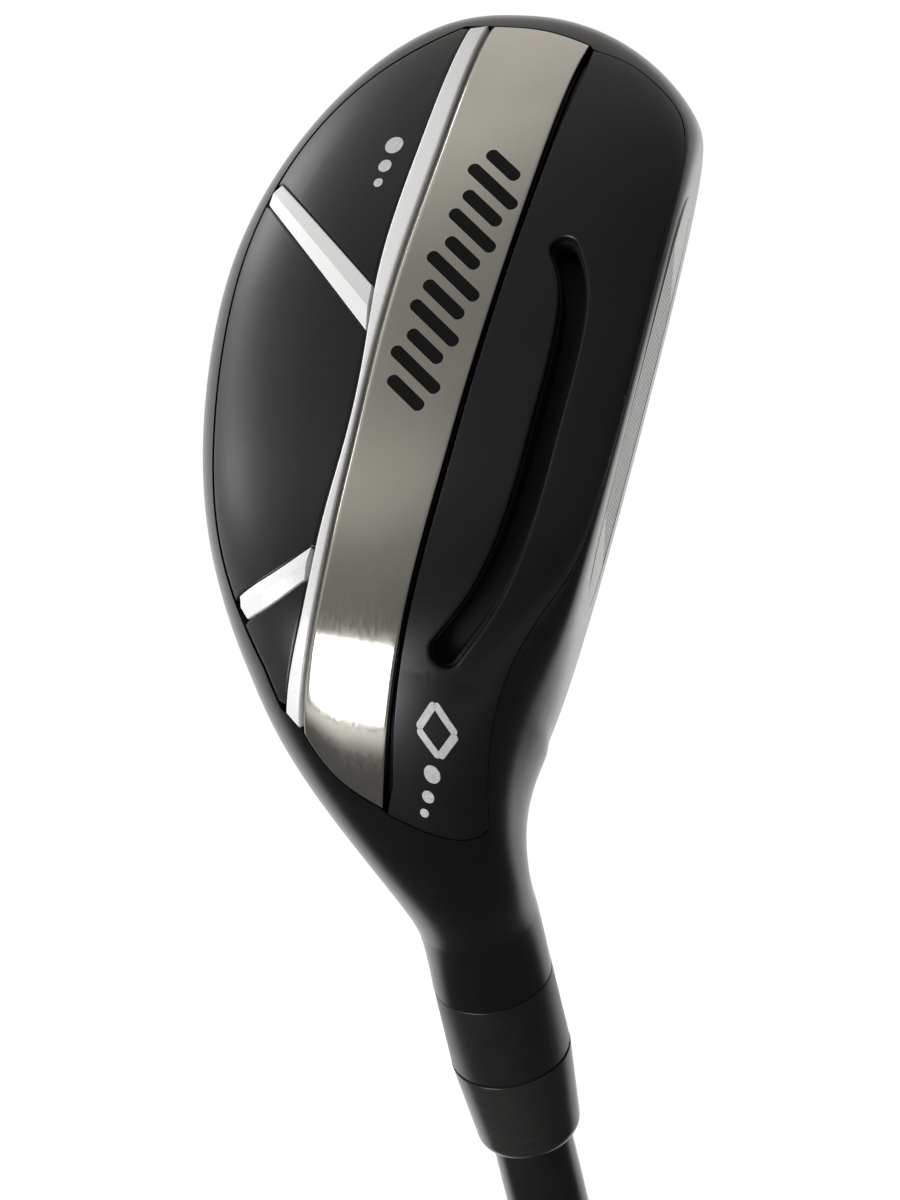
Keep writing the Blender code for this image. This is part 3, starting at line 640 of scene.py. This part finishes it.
def make_looks():
    return {
        "gloss": gloss_paint(), "satin": satin_paint(), "strip": strip_steel(), "silver": silver_paint(),
        "face": blasted_steel(), "slot": slot_polymer(), "mark_black": mark_black(),
        "mark_silver": mark_silver(), "collar": collar_finish(), "ferrule": ferrule_plastic(),
        "shaft": shaft_paint(),
        "grip": rubber("grip_rubber", (0.01, 0.01, 0.01), (0.018, 0.018, 0.017), 2600.0),
        "cap": rubber("cap_rubber", (0.013,) * 3, (0.02,) * 3, 3400.0),
        "weight": plain_metal("weight_alloy", (0.22, 0.22, 0.21), (0.36, 0.35, 0.34), 0.5, 2200.0),
        "brass": plain_metal("brass_pin", (0.62, 0.44, 0.2), (0.78, 0.58, 0.28), 0.34, 1800.0),
        "glue": soft_stuff("hot_melt", (0.5, 0.42, 0.24), (0.72, 0.64, 0.42), 500.0, 0.00005),
        "foam": soft_stuff("plug_foam", (0.4, 0.28, 0.17), (0.58, 0.43, 0.27), 2600.0, 0.0001),
        "tape": soft_stuff("tape_paper", (0.5, 0.45, 0.34), (0.66, 0.6, 0.48), 1500.0, 0.00003),
    }


# -------- head

def head_stations():
    last = TOE - 22.0
    turn = np.linspace(0.0, math.pi / 2, 26 * FINE)[:-1]
    parts = (np.linspace(NECK_END, NECK_START, 3, endpoint=False),
             np.linspace(NECK_START, PIVOT_T, 24 * FINE, endpoint=False),
             np.linspace(PIVOT_T, last, 34 * FINE, endpoint=False),
             last + (TOE - last) * np.sin(turn))
    return np.concatenate(parts)


def pocket_borders():
    """The lines of the recess that holds the sole's plates, a seam outside them."""
    front = shifted(curve(PLATE_FRONT), -FRONT_SEAM)
    back = shifted(curve(REAR_EDGE), SEAM)
    heel = joined(curve(PLATE_HEEL, 25), curve(STRIP_HEEL, 25), HEEL_TURN, SPINE_BACK[0], REAR_EDGE[0])
    toe = joined(curve(PLATE_TOE, 25), curve(STRIP_TOE, 25), TOE_TURN, REAR_EDGE[-1])
    heel, toe = shifted(heel, SEAM), shifted(toe, -SEAM)
    heel[0], heel[-1], toe[0], toe[-1] = front[0], back[0], front[-1], back[-1]
    return front, back, heel, toe


def spread_lines(lines, distance):
    """Front, back, heel and toe lines moved outward, with their corners joined again."""
    out = [shifted(curve(line), way * distance) for line, way in zip(lines, (-1, 1, 1, -1))]
    for side, i, end, j in ((0, 0, 2, 0), (1, 0, 2, -1), (0, -1, 3, 0), (1, -1, 3, -1)):
        centre = (out[side][i] + out[end][j]) / 2
        out[side][i] = centre
        out[end][j] = centre
    return out


def cutter(name, borders, rows, columns, top, bottom, crown=False):
    plan = patch(borders, np.linspace(0, 1, rows), np.linspace(0, 1, columns))
    return mesh_object(name, *slab_mesh(plan, top, bottom, crown))


def face_point(t, up, depth):
    """Points up the face from its foot, a depth behind it."""
    h = up * math.cos(LOFT) - depth * math.sin(LOFT) * math.cos(FACE_CLOSED)
    b = face_line(t, up * math.cos(LOFT)) + depth * math.cos(LOFT) * math.cos(FACE_CLOSED)
    return np.stack(np.broadcast_arrays(t + depth * math.cos(LOFT) * math.sin(FACE_CLOSED), b, h), -1)


def face_ring(grow, depth, count=192):
    """The face plate's outline, grown sideways, at a depth behind the face."""
    angle = 2 * math.pi * np.arange(count) / count
    c, d = np.cos(angle), np.sin(angle)
    size = (np.abs(c) ** FACE_ROUNDNESS + np.abs(d) ** FACE_ROUNDNESS) ** (-1 / FACE_ROUNDNESS)
    height = FACE_HALF_HEIGHT + FACE_TAPER * c * size + grow
    t = FACE_MIDDLE[0] + (FACE_HALF_LENGTH + grow) * c * size
    return to_club(face_point(t, FACE_MIDDLE[1] + height * d * size, depth))


def build_head(looks):
    rows = to_club(ring(head_stations(), 96 * FINE))
    head = tube("head_shell", rows, looks["gloss"], to_club((TOE, TOE_BACK, TOE_HEIGHT)))
    crown_lines = spread_lines((CROWN_FRONT, CROWN_BACK, CROWN_HEEL, CROWN_TOE), SEAM)
    face_depths = (FACE_CUT_ABOVE, FACE_SET_BACK + FACE_PLATE + GAP)
    face_recess = np.stack([face_ring(FRONT_SEAM, depth) for depth in face_depths])
    loop = slot_loop(SLOT_HALF_WIDTH + 0.1)
    cutters = [
        cutter("pocket", pocket_borders(), 60 * FINE, 24 * FINE, CUT_ABOVE, POCKET),
        cutter("crown_recess", crown_lines, 40 * FINE, 20 * FINE, CUT_ABOVE, CROWN_PLATE + GAP, crown=True),
        tube("face_recess", face_recess),
        loop_solid("trench", loop, TRENCH_TOP, SLOT_DEPTH + GAP),
    ]
    carve(head, cutters)
    piece(head, "black_gloss", "head_body")


# -------- sole plates

def slot_loop(half, ends=10, middle=90):
    """The slot's outline as paired front and back sides, each from heel to toe, with round ends."""
    line = curve(SLOT_MIDDLE)
    inset = SLOT_HALF_WIDTH / lengths(line)[-1]
    straight = along(line, np.linspace(inset, 1 - inset, middle))
    ways = np.diff(straight, axis=0)[[0, -1]]
    ways /= np.linalg.norm(ways, axis=1, keepdims=True)
    turn = np.linspace(math.radians(2.0), math.pi / 2, ends)[:-1]
    spots = joined(straight[0] - ways[0] * (half * np.cos(turn))[:, None], straight,
                   straight[-1] + ways[1] * (half * np.cos(turn[::-1]))[:, None])
    widths = np.concatenate([half * np.sin(turn), np.full(middle, half), half * np.sin(turn[::-1])])
    way = np.gradient(spots, axis=0)
    way[:ends], way[-ends:] = ways
    side = left_of(way) * widths[:, None]
    return spots - side, spots + side


def closed_loop(sides):
    return np.concatenate([sides[0], sides[1][::-1]])


def cap_faces(start, half):
    """Faces across a closed loop whose two sides hold half its points each."""
    last = start + 2 * half - 1
    return [(start + i, start + i + 1, last - i - 1, last - i) for i in range(half - 1)]


def loop_rings(rings):
    """Points and faces of a solid through (loop, depth) rings, capped at both ends."""
    count = len(rings[0][0])
    points = np.concatenate([skin_at(loop, np.full(count, float(depth))) for loop, depth in rings])
    faces = quads(len(rings), count, wrap=True)
    faces += cap_faces(0, count // 2) + cap_faces((len(rings) - 1) * count, count // 2)
    return to_club(points), faces


def loop_solid(name, sides, top, bottom):
    loop = closed_loop(sides)
    return mesh_object(name, *loop_rings([(loop, top), (loop, bottom)]))


def paired(outline, side, ends, middle):
    """The outline's places that face the slot's side: its straight part, and then its round ends."""
    marks = [int(np.argmin(np.linalg.norm(outline - side[k], axis=1))) for k in (ends - 1, ends + middle - 2)]
    first, straight, last = outline[:marks[0] + 1], outline[marks[0]:marks[1] + 1], outline[marks[1]:]
    return joined(along(first, np.linspace(0, 1, ends)[:-1]), along(straight, np.linspace(0, 1, middle)),
                  along(last, np.linspace(0, 1, ends)[1:]))


def front_plate_sides(ends, middle):
    """The front plate's outline, in the same order as the slot's."""
    strip_side = shifted(curve([PLATE_HEEL[-1], *STRIP_FRONT[1:-1], PLATE_TOE[-1]]), -STRIP_SLIT)
    strip_side[0], strip_side[-1] = PLATE_HEEL[-1], PLATE_TOE[-1]
    front, heel, toe = curve(PLATE_FRONT), curve(PLATE_HEEL), curve(PLATE_TOE)
    half = len(heel) // 2
    near = joined(heel[half::-1], front, toe[:half])
    far = joined(heel[half:], strip_side, toe[:half:-1])
    slot = slot_loop(SLOT_HALF_WIDTH, ends, middle)
    return paired(near, slot[0], ends, middle), paired(far, slot[1], ends, middle)


def build_front_plate(looks, rim=0.3, edge=0.08, ends=60, middle=150):
    """A plate from the slot's rim out to its outline, both rounded."""
    rims = rim * (1 - np.cos(np.linspace(0.0, math.pi / 2, 7)))
    lip = np.stack([closed_loop(slot_loop(SLOT_HALF_WIDTH + r, ends, middle)) for r in rims], 1)
    start, outer = lip[:, -1], closed_loop(front_plate_sides(ends, middle))
    width = np.linalg.norm(outer - start, axis=1)[:, None]
    way = (outer - start) / width
    turn = 1 - np.cos(np.linspace(0.0, math.pi / 2, 7))
    spread = np.linspace(0.0, 1.0, 14 * FINE)[None, 1:-1]
    distance = np.concatenate([(width - edge) * spread, width - turn[::-1] * edge], axis=1)
    plan = np.concatenate([lip, start[:, None] + way[:, None] * distance[..., None]], axis=1)
    lip_depth = np.broadcast_to(edge_drop(rims, rim), lip.shape[:2])
    depth = np.concatenate([lip_depth, edge_drop(width - distance, edge)], axis=1)
    loops, columns = plan.shape[:2]
    size = loops * columns
    points = np.concatenate([skin_at(plan, depth).reshape(-1, 3),
                             skin_at(plan, np.full(depth.shape, PLATE)).reshape(-1, 3)])
    faces = []
    ids = np.arange(size).reshape(loops, columns)
    for low in (0, size):
        a, b = ids + low, np.roll(ids, -1, axis=0) + low
        faces += np.stack([a[:, :-1], a[:, 1:], b[:, 1:], b[:, :-1]], -1).reshape(-1, 4).tolist()
    for column in (0, columns - 1):
        a, b = ids[:, column], np.roll(ids[:, column], -1)
        faces += np.stack([a, b, b + size, a + size], -1).tolist()
    obj = mesh_object("front_plate", to_club(points), faces, looks["satin"])
    piece(obj, "black_satin", "front_sole_plate")


def build_slot_trough(looks, wall=0.2):
    outer = closed_loop(slot_loop(SLOT_HALF_WIDTH + 0.05))
    inner = closed_loop(slot_loop(SLOT_HALF_WIDTH - wall))
    top = PLATE + 0.05
    points, faces = loop_rings([(outer, SLOT_DEPTH), (outer, top), (inner, top), (inner, SLOT_FLOOR)])
    piece(mesh_object("slot_trough", points, faces, looks["slot"]), "slot_polymer", "slot_insert")


def build_strip(looks):
    borders = [curve(line) for line in (STRIP_FRONT, STRIP_BACK, STRIP_HEEL, STRIP_TOE)]
    obj = plate("strip", borders, 130 * FINE, 22 * FINE, looks["strip"], radius=0.16, chamfer=STRIP_CHAMFER)
    piece(obj, "brushed_steel", "sole_strip")


def build_spine(looks):
    front = shifted(curve(STRIP_BACK), 0.2)
    back = curve(SPINE_BACK)
    borders = (front, back, curve([front[0], back[0]]), curve([front[-1], back[-1]]))
    obj = plate("spine_line", borders, 130 * FINE, 6, looks["silver"], radius=0.25, top=-0.12)
    piece(obj, "silver_paint", "silver_spine")


def build_spokes(looks):
    for name, low, top in (("toe_spoke", TOE_SPOKE_LOW, TOE_SPOKE_TOP),
                           ("heel_spoke", HEEL_SPOKE_LOW, HEEL_SPOKE_TOP)):
        low, top = curve(low), curve(top)
        borders = (curve([low[0], top[0]]), curve([low[-1], top[-1]]), low, top)
        obj = spoke(name + "_bar", borders, looks["silver"])
        piece(obj, "silver_paint", name)


def spoke(name, borders, look, radius=0.15, ridge=0.38):
    """A bar with a ridge along its middle, from the spine to the rear edge."""
    u = edge_spaced(8 * FINE + 1, 3.0, radius)
    v = np.linspace(0.0, 1.0, 40 * FINE)
    plan = patch(borders, u, v)
    near = np.minimum(np.linalg.norm(plan - plan[:1], axis=-1), np.linalg.norm(plan - plan[-1:], axis=-1))
    height = np.minimum(near / near.max(axis=0, keepdims=True), 1.0)
    depth = -0.05 + edge_drop(near, radius) - ridge * height
    return mesh_object(name, *slab_mesh(plan, depth, PLATE), look, smooth=12.0)


def nearest(line, spot):
    return line[np.argmin(np.linalg.norm(line - spot, axis=1))]


def build_panels(looks):
    """Three panels between the spine, the spokes and the rear edge, each a seam clear of them."""
    spine, rear = shifted(curve(SPINE_BACK, 481), SEAM), shifted(curve(REAR_EDGE, 481), -SEAM)

    def panel(name, node, first, last, rows, columns):
        front = between(spine, first[0][0], last[0][0])
        back = between(rear, first[-1][0], last[-1][0])
        front = joined(first[0], front, last[0])
        back = joined(first[-1], back, last[-1])
        borders = (front, back, first, last)
        obj = plate(name, borders, rows * FINE, columns * FINE, looks["satin"], radius=0.25)
        piece(obj, "black_satin", node)

    def spoke_side(points, distance):
        side = shifted(curve(points), distance)
        side[0], side[-1] = nearest(spine, side[0]), nearest(rear, side[-1])
        return side

    def end_line(*stations):
        return curve([line[np.argmin(np.abs(line[:, 0] - w))] for line, w in zip((spine, rear), stations)])

    panel("toe_side_panel", "toe_panel", spoke_side(TOE_SPOKE_TOP, -SEAM), end_line(77.0, 77.0), 60, 26)
    panel("middle_side_panel", "middle_panel", spoke_side(HEEL_SPOKE_TOP, -SEAM),
          spoke_side(TOE_SPOKE_LOW, SEAM), 60, 34)
    panel("heel_side_panel", "heel_panel", end_line(-9.0, -8.7), spoke_side(HEEL_SPOKE_LOW, SEAM), 20, 14)


# -------- marks

def bar_plan(start, end, width, steps=24, columns=7):
    """A straight bar with round ends, as a plan grid."""
    start, end = np.array(start, float), np.array(end, float)
    length = np.linalg.norm(end - start)
    way = (end - start) / length
    side = np.array((-way[1], way[0]))
    half = width / 2
    turn = np.linspace(math.radians(8.0), math.pi / 2, steps // 3)[:-1]
    at = np.concatenate([half * (1 - np.cos(turn)), np.linspace(half, length - half, steps // 3),
                         length - half * (1 - np.cos(turn[::-1]))])
    reach = np.concatenate([half * np.sin(turn), np.full(steps // 3, half), half * np.sin(turn[::-1])])
    across = np.linspace(-1.0, 1.0, columns)
    return start + way * at[:, None, None] + side * (reach[:, None] * across)[..., None]


def mark_object(name, plans, look, slot, top=-0.03, bottom=0.08):
    """One object of thin raised shapes."""
    points, faces, count = [], [], 0
    for plan in plans:
        spots, rows = slab_mesh(plan, top, bottom)
        points.append(spots)
        faces += [tuple(i + count for i in face) for face in rows]
        count += len(spots)
    piece(mesh_object(name, np.concatenate(points), faces, look), slot)


STRIP_MARKS = {"start": (56.0, 0.9), "end": (26.8, 5.9), "slant": 1.6, "width": 1.5}
MARK_HEIGHTS = (5.0, 7.6, 5.8, 7.0, 5.0, 7.8, 6.0, 7.2, 5.2, 7.4, 5.4)
TOE_DOTS = ((58.3, 15.0, 2.2), (55.4, 15.3, 1.6), (53.1, 15.5, 1.1))
HEEL_DIAMOND = {"centre": (-10.2, -4.0), "reach": (2.2, 1.9), "width": 0.7}
HEEL_DOTS = ((-14.0, -3.0, 1.6), (-16.2, -2.2, 1.2), (-17.9, -1.5, 0.9))


def dot(w, b, size):
    """A round dot as a plan grid."""
    half = np.array((size * 0.52, 0.0))
    return bar_plan(np.array((w, b)) - half, np.array((w, b)) + half, size)


def diamond(centre, reach, width):
    """Four bars round a diamond."""
    w, b = centre
    corners = [(w - reach[0], b), (w, b - reach[1]), (w + reach[0], b), (w, b + reach[1])]
    return [bar_plan(corners[k - 1], corners[k], width) for k in range(4)]


def build_marks(looks):
    """Plain abstract marks: slanted dashes on the strip, and dots and a diamond on the plates."""
    start, end = np.array(STRIP_MARKS["start"]), np.array(STRIP_MARKS["end"])
    way = (end - start) / np.linalg.norm(end - start)
    side = np.array((-way[1], way[0]))
    dashes = []
    for k, height in enumerate(MARK_HEIGHTS):
        centre = start + (end - start) * k / (len(MARK_HEIGHTS) - 1)
        lean = side * height / 2 + way * STRIP_MARKS["slant"] * height / 6
        dashes.append(bar_plan(centre - lean, centre + lean, STRIP_MARKS["width"]))
    mark_object("strip_dashes", dashes, looks["mark_black"], "brushed_steel")
    mark_object("toe_panel_marks", [dot(*spot) for spot in TOE_DOTS], looks["mark_silver"], "silver_paint")
    shapes = diamond(**HEEL_DIAMOND) + [dot(*spot) for spot in HEEL_DOTS]
    mark_object("heel_marks", shapes, looks["mark_silver"], "silver_paint")


# -------- crown and face

def build_crown(looks):
    borders = [curve(line) for line in (CROWN_FRONT, CROWN_BACK, CROWN_HEEL, CROWN_TOE)]
    obj = plate("crown_cover", borders, 90 * FINE, 44 * FINE, looks["gloss"], radius=0.12,
                bottom=CROWN_PLATE, crown=True)
    piece(obj, "black_gloss", "crown_plate")


def score_cutters(count=SCORE_COUNT, half=0.4, depth=0.4, ends=10):
    """Grooves with sloping sides and round ends, as one mesh of closed solids."""
    points, faces = [], []
    turn = np.linspace(-math.pi / 2, math.pi / 2, ends)
    for k in range(count):
        up = SCORE_FIRST + k * SCORE_PITCH
        start = len(points)
        for size, at in ((half * 1.15, -0.3), (half, FACE_SET_BACK), (half * 0.45, FACE_SET_BACK + depth)):
            right = np.stack([SCORE_ENDS[1] + size * np.cos(turn), up + size * np.sin(turn)], 1)
            left = np.stack([SCORE_ENDS[0] - size * np.cos(turn), up - size * np.sin(turn)], 1)
            outline = np.concatenate([right, left])
            points += to_club(face_point(outline[:, 0], outline[:, 1], at)).tolist()
        size = 2 * ends
        faces.append(tuple(range(start, start + size)))
        faces += quads(3, size, wrap=True, start=start)
        faces.append(tuple(range(start + 2 * size, start + 3 * size)))
    return mesh_object("scorelines", points, faces)


def build_face(looks, radius=0.1):
    turn = np.linspace(0.0, math.pi / 2, 6)
    rings = [face_ring(0.0, FACE_SET_BACK + FACE_PLATE)]
    edge = [(-radius * (1 - math.cos(a)), radius * (1 - math.sin(a))) for a in turn]
    rings += [face_ring(grow, FACE_SET_BACK + drop) for grow, drop in edge]
    obj = tube("face_insert", np.stack(rings), looks["face"])
    carve(obj, [score_cutters()])
    piece(obj, "face_steel", "face_plate")


# -------- neck, shaft and grip

def box_mm(node):
    low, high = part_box(node)
    return low / MM, high / MM


def ring_profile(outer_top, outer_low, top, low, bore, chamfer):
    """The profile of a plain ring with rounded outer edges."""
    upper = rounded((bore, top), (outer_top, top), (outer_low, low), chamfer)
    lower = rounded((outer_top, top), (outer_low, low), (bore, low), chamfer)
    return [(bore, top), *upper, *lower, (bore, low)]


def build_neck(looks):
    low, high = box_mm("hosel_collar")
    collar = ring_profile(*COLLAR_RADII, high.z, low.z, NECK_BORE, RING_EDGE)
    piece(lathe("collar_ring", collar, looks["collar"]), "collar_black", "hosel_collar")
    low, high = box_mm("ferrule")
    wide, narrow = FERRULE_RADII
    inset, nose = FERRULE_NOSE
    upper = rounded((NECK_BORE, high.z), (wide, high.z), (narrow, low.z + nose), RING_EDGE)
    turn = np.radians(np.linspace(0.0, 90.0, 12))
    end = [(narrow - inset * (1 - math.cos(a)), low.z + nose * (1 - math.sin(a))) for a in turn]
    profile = [(NECK_BORE, high.z), *upper, *end, (NECK_BORE, low.z)]
    piece(lathe("ferrule_sleeve", profile, looks["ferrule"]), "ferrule_black", "ferrule")


def shaft_radius(z, tip=4.65, butt=7.6, tip_start=CLUB_LENGTH - 110.0, butt_end=60.0):
    share = np.clip((z - butt_end) / (tip_start - butt_end), 0.0, 1.0)
    return butt + (tip - butt) * share


def build_shaft(looks, wall=1.5, rings=60):
    low, high = box_mm("shaft")
    z = np.linspace(low.z, high.z, rings)
    outer = np.stack([shaft_radius(z), z], 1)
    inner = np.stack([shaft_radius(z) - wall, z], 1)[::-1]
    piece(lathe("shaft_tube", np.concatenate([outer, inner]), looks["shaft"], 96), "graphite_black", "shaft")


def grip_wave(angle, z, radius):
    """Moulded grooves: crossed spirals with a plain band between them, and rings at the mouth."""
    low, high = box_mm("grip")
    turns, pitch, depth, width = 12, 7.0, 0.32, 0.32
    ring_pitch, ring_depth = 3.4, 0.22
    share = (z - low.z) / (high.z - low.z)
    first = np.abs(np.sin((angle * turns + 2 * math.pi * z / pitch) / 2))
    second = np.abs(np.sin((angle * turns - 2 * math.pi * z / pitch) / 2))
    groove = 1 - ease(np.minimum(first, second) / width)
    band = ease((share - 0.02) / 0.015) * (1 - ease((share - 0.9) / 0.02))
    band = band * (1 - ease(1 - np.abs(share - 0.5) / 0.012))
    mouth = ease((share - 0.915) / 0.01) * (1 - ease((share - 0.975) / 0.005))
    rings = ring_depth * ease(np.cos(2 * math.pi * z / ring_pitch) * 2 - 0.9) * mouth
    return np.where(radius > shaft_radius(z) + 1.2, -depth * groove * band - rings, 0.0)


def build_grip(looks):
    low, high = box_mm("grip")
    outline = [(low.z, BUTT_RADIUS), *GRIP_OUTLINE, (high.z, MOUTH_RADIUS)]
    z = np.linspace(low.z, high.z, 230 * FINE)
    outer = np.stack([np.interp(z, *np.array(outline).T), z], 1)
    z = np.array([high.z, 60.0, low.z])
    bore = np.stack([shaft_radius(z) + 3 * GAP, z], 1)
    obj = lathe("grip_sleeve", np.concatenate([outer, bore]), looks["grip"], 96 * FINE, grip_wave)
    piece(obj, "grip_black", "grip")
    low, high = box_mm("grip_cap")
    inner_top, inner_low = (VENT_RADIUS, high.z), (VENT_RADIUS, low.z)
    outer_top, outer_low = (BUTT_RADIUS, high.z), (BUTT_RADIUS, low.z)
    edge = rounded(inner_low, outer_low, outer_top, 1.8, 10)
    rim = rounded(outer_low, outer_top, inner_top, 0.2)
    vent = rounded(inner_top, inner_low, outer_low, 0.3)
    groove = [(radius, low.z + depth) for radius, depth in CAP_GROOVE]
    profile = [*vent, *groove, *edge, *rim, inner_top]
    piece(lathe("butt_cap", profile, looks["cap"]), "cap_black", "grip_cap")


def dress_hidden(looks):
    """Better materials for the CAD nodes that stay: their shapes are right."""
    for node, key in (("rear_weight_pad", "weight"), ("hot_melt_pad", "glue"), ("hosel_plug", "foam"),
                      ("tip_weight_pin", "brass"), ("grip_tape", "tape")):
        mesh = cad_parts[node].data
        mesh.materials.clear()
        mesh.materials.append(looks[key])


# -------- stage, light and camera

def floor_material(grey=0.8, glow=0.7):
    look = Look("pale_floor", Roughness=0.9, Emission_Color=(1.0, 1.0, 1.0, 1.0), Emission_Strength=glow)
    colour = look.colours(look.noise(3.0), (grey,) * 3, (grey + 0.01,) * 3)
    look.feed(look.shader.inputs["Base Color"], colour)
    return look.material


def aimed(name, data, azimuth, elevation, distance, roll=0.0):
    """Puts a light or camera around the head, facing it. Azimuth 0 is towards -Y and 90 towards +X."""
    flat = math.cos(elevation)
    away = Vector((math.sin(azimuth) * flat, -math.cos(azimuth) * flat, math.sin(elevation)))
    obj = bpy.data.objects.new(name, data)
    obj.location = VIEW_TARGET + away * distance
    obj.rotation_mode = "QUATERNION"
    obj.rotation_quaternion = away.to_track_quat("Z", "Y") @ Quaternion((0.0, 0.0, 1.0), -roll)
    bpy.context.scene.collection.objects.link(obj)
    return obj


def softbox(name, azimuth, elevation, distance, width, height, radiance):
    """A soft rectangular light of a given brightness, with its angles in degrees."""
    light = bpy.data.lights.new(name, "AREA")
    light.shape = "RECTANGLE"
    light.size = width
    light.size_y = height
    light.energy = radiance * math.pi * width * height
    obj = aimed(name, light, math.radians(azimuth), math.radians(elevation), distance)
    obj.visible_camera = False


def new_nodes(owner, *kinds):
    """Clears an owner's nodes and adds the kinds given."""
    owner.use_nodes = True
    tree = owner.node_tree
    tree.nodes.clear()
    return tree, [tree.nodes.new("ShaderNode" + kind) for kind in kinds]


def build_world():
    """A pale studio that is darker in front of the face and brighter towards the toe and back."""
    world = bpy.data.worlds.new("studio")
    bpy.context.scene.world = world
    tree, (way, tilt, shift, ramp, dim, pale, mix, out, rays) = new_nodes(
        world, "TexCoord", "VectorMath", "Math", "ValToRGB", "Background", "Background", "MixShader",
        "OutputWorld", "LightPath")
    tilt.operation = "DOT_PRODUCT"
    tilt.inputs[1].default_value = (0.35, 0.35, 0.0)
    shift.inputs[1].default_value = 0.5
    tree.links.new(way.outputs["Generated"], tilt.inputs[0])
    tree.links.new(tilt.outputs["Value"], shift.inputs[0])
    tree.links.new(shift.outputs[0], ramp.inputs["Fac"])
    stops = ((0.08, 0.08), (0.4, 0.2), (0.6, 0.27), (0.68, 0.42), (0.76, 0.6), (0.9, 0.66))
    elements = ramp.color_ramp.elements
    while len(elements) < len(stops):
        elements.new(0.5)
    for element, (at, value) in zip(elements, stops):
        element.position = at
        element.color = (value, value * 0.985, value * 0.95, 1.0)
    pale.inputs["Color"].default_value = (0.96, 0.96, 0.96, 1.0)
    tree.links.new(ramp.outputs["Color"], dim.inputs["Color"])
    tree.links.new(rays.outputs["Is Camera Ray"], mix.inputs["Fac"])
    tree.links.new(dim.outputs[0], mix.inputs[1])
    tree.links.new(pale.outputs[0], mix.inputs[2])
    tree.links.new(mix.outputs[0], out.inputs["Surface"])


def build_card(radius=0.6, first=-185.0, last=60.0, low=0.02, high=0.98, soft=25.0):
    """A dark card under and in front of the head, curved up, and fading out at its ends and top."""
    azimuths = np.linspace(first, last, 49)
    under = [(reach, low) for reach in np.linspace(0.02, radius, 9)[:-1]]
    profile = np.array(under + [(radius, height) for height in np.linspace(low, high, 25)])
    turn = np.radians(azimuths)[:, None]
    reach, rise = profile[None, :, 0], profile[None, :, 1] + 0 * turn
    points = np.stack([VIEW_TARGET.x + reach * np.sin(turn), -reach * np.cos(turn), rise], -1)
    card = mesh_object("dark_card", points.reshape(-1, 3), quads(len(azimuths), len(profile)))
    ends = np.minimum(azimuths - first, last - azimuths)[:, None] / soft
    fade = ease(np.clip(ends, 0, 1)) * ease(np.clip((high - profile[:, 1]) / 0.12, 0, 1))[None]
    cover = card.data.attributes.new("cover", "FLOAT", "POINT")
    cover.data.foreach_set("value", fade.reshape(-1).astype(np.float32))
    card.data.materials.append(card_material())
    card.visible_camera = False


def card_material(glow=0.1):
    """Dark cloth that lets light past where its cover fades."""
    made = bpy.data.materials.new("dark_card_cloth")
    tree, (cover, cloth, clear, mix, out) = new_nodes(
        made, "Attribute", "Emission", "BsdfTransparent", "MixShader", "OutputMaterial")
    cover.attribute_name = "cover"
    cloth.inputs["Color"].default_value = (glow, glow, glow * 0.97, 1.0)
    tree.links.new(cover.outputs["Fac"], mix.inputs["Fac"])
    tree.links.new(clear.outputs[0], mix.inputs[1])
    tree.links.new(cloth.outputs[0], mix.inputs[2])
    tree.links.new(mix.outputs[0], out.inputs["Surface"])
    return made


def build_stage():
    reach = 40.0
    corners = [(-reach, -reach, 0), (reach, -reach, 0), (reach, reach, 0), (-reach, reach, 0)]
    mesh_object("floor", corners, [(0, 1, 2, 3)], floor_material())
    build_card()
    build_world()
    softbox("heel_softbox", -112.0, 18.0, 1.6, 0.85, 0.8, 11.0)
    softbox("back_softbox", 152.0, 17.0, 1.6, 0.6, 0.5, 5.0)


def build_camera():
    data = bpy.data.cameras.new("view")
    data.sensor_fit = "VERTICAL"
    data.sensor_height = 36.0
    data.sensor_width = 27.0
    data.lens = VIEW_LENS
    data.clip_start = 0.01
    data.clip_end = 100.0
    camera = aimed("view", data, VIEW_AZIMUTH, VIEW_ELEVATION, VIEW_DISTANCE, VIEW_ROLL)
    bpy.context.scene.camera = camera
    bpy.context.scene.view_settings.view_transform = "Standard"


def main():
    looks = make_looks()
    for build in (build_head, build_front_plate, build_slot_trough, build_strip, build_spine, build_spokes,
                  build_panels, build_marks, build_crown, build_face, build_neck, build_shaft, build_grip,
                  dress_hidden):
        build(looks)
    build_stage()
    build_camera()


main()
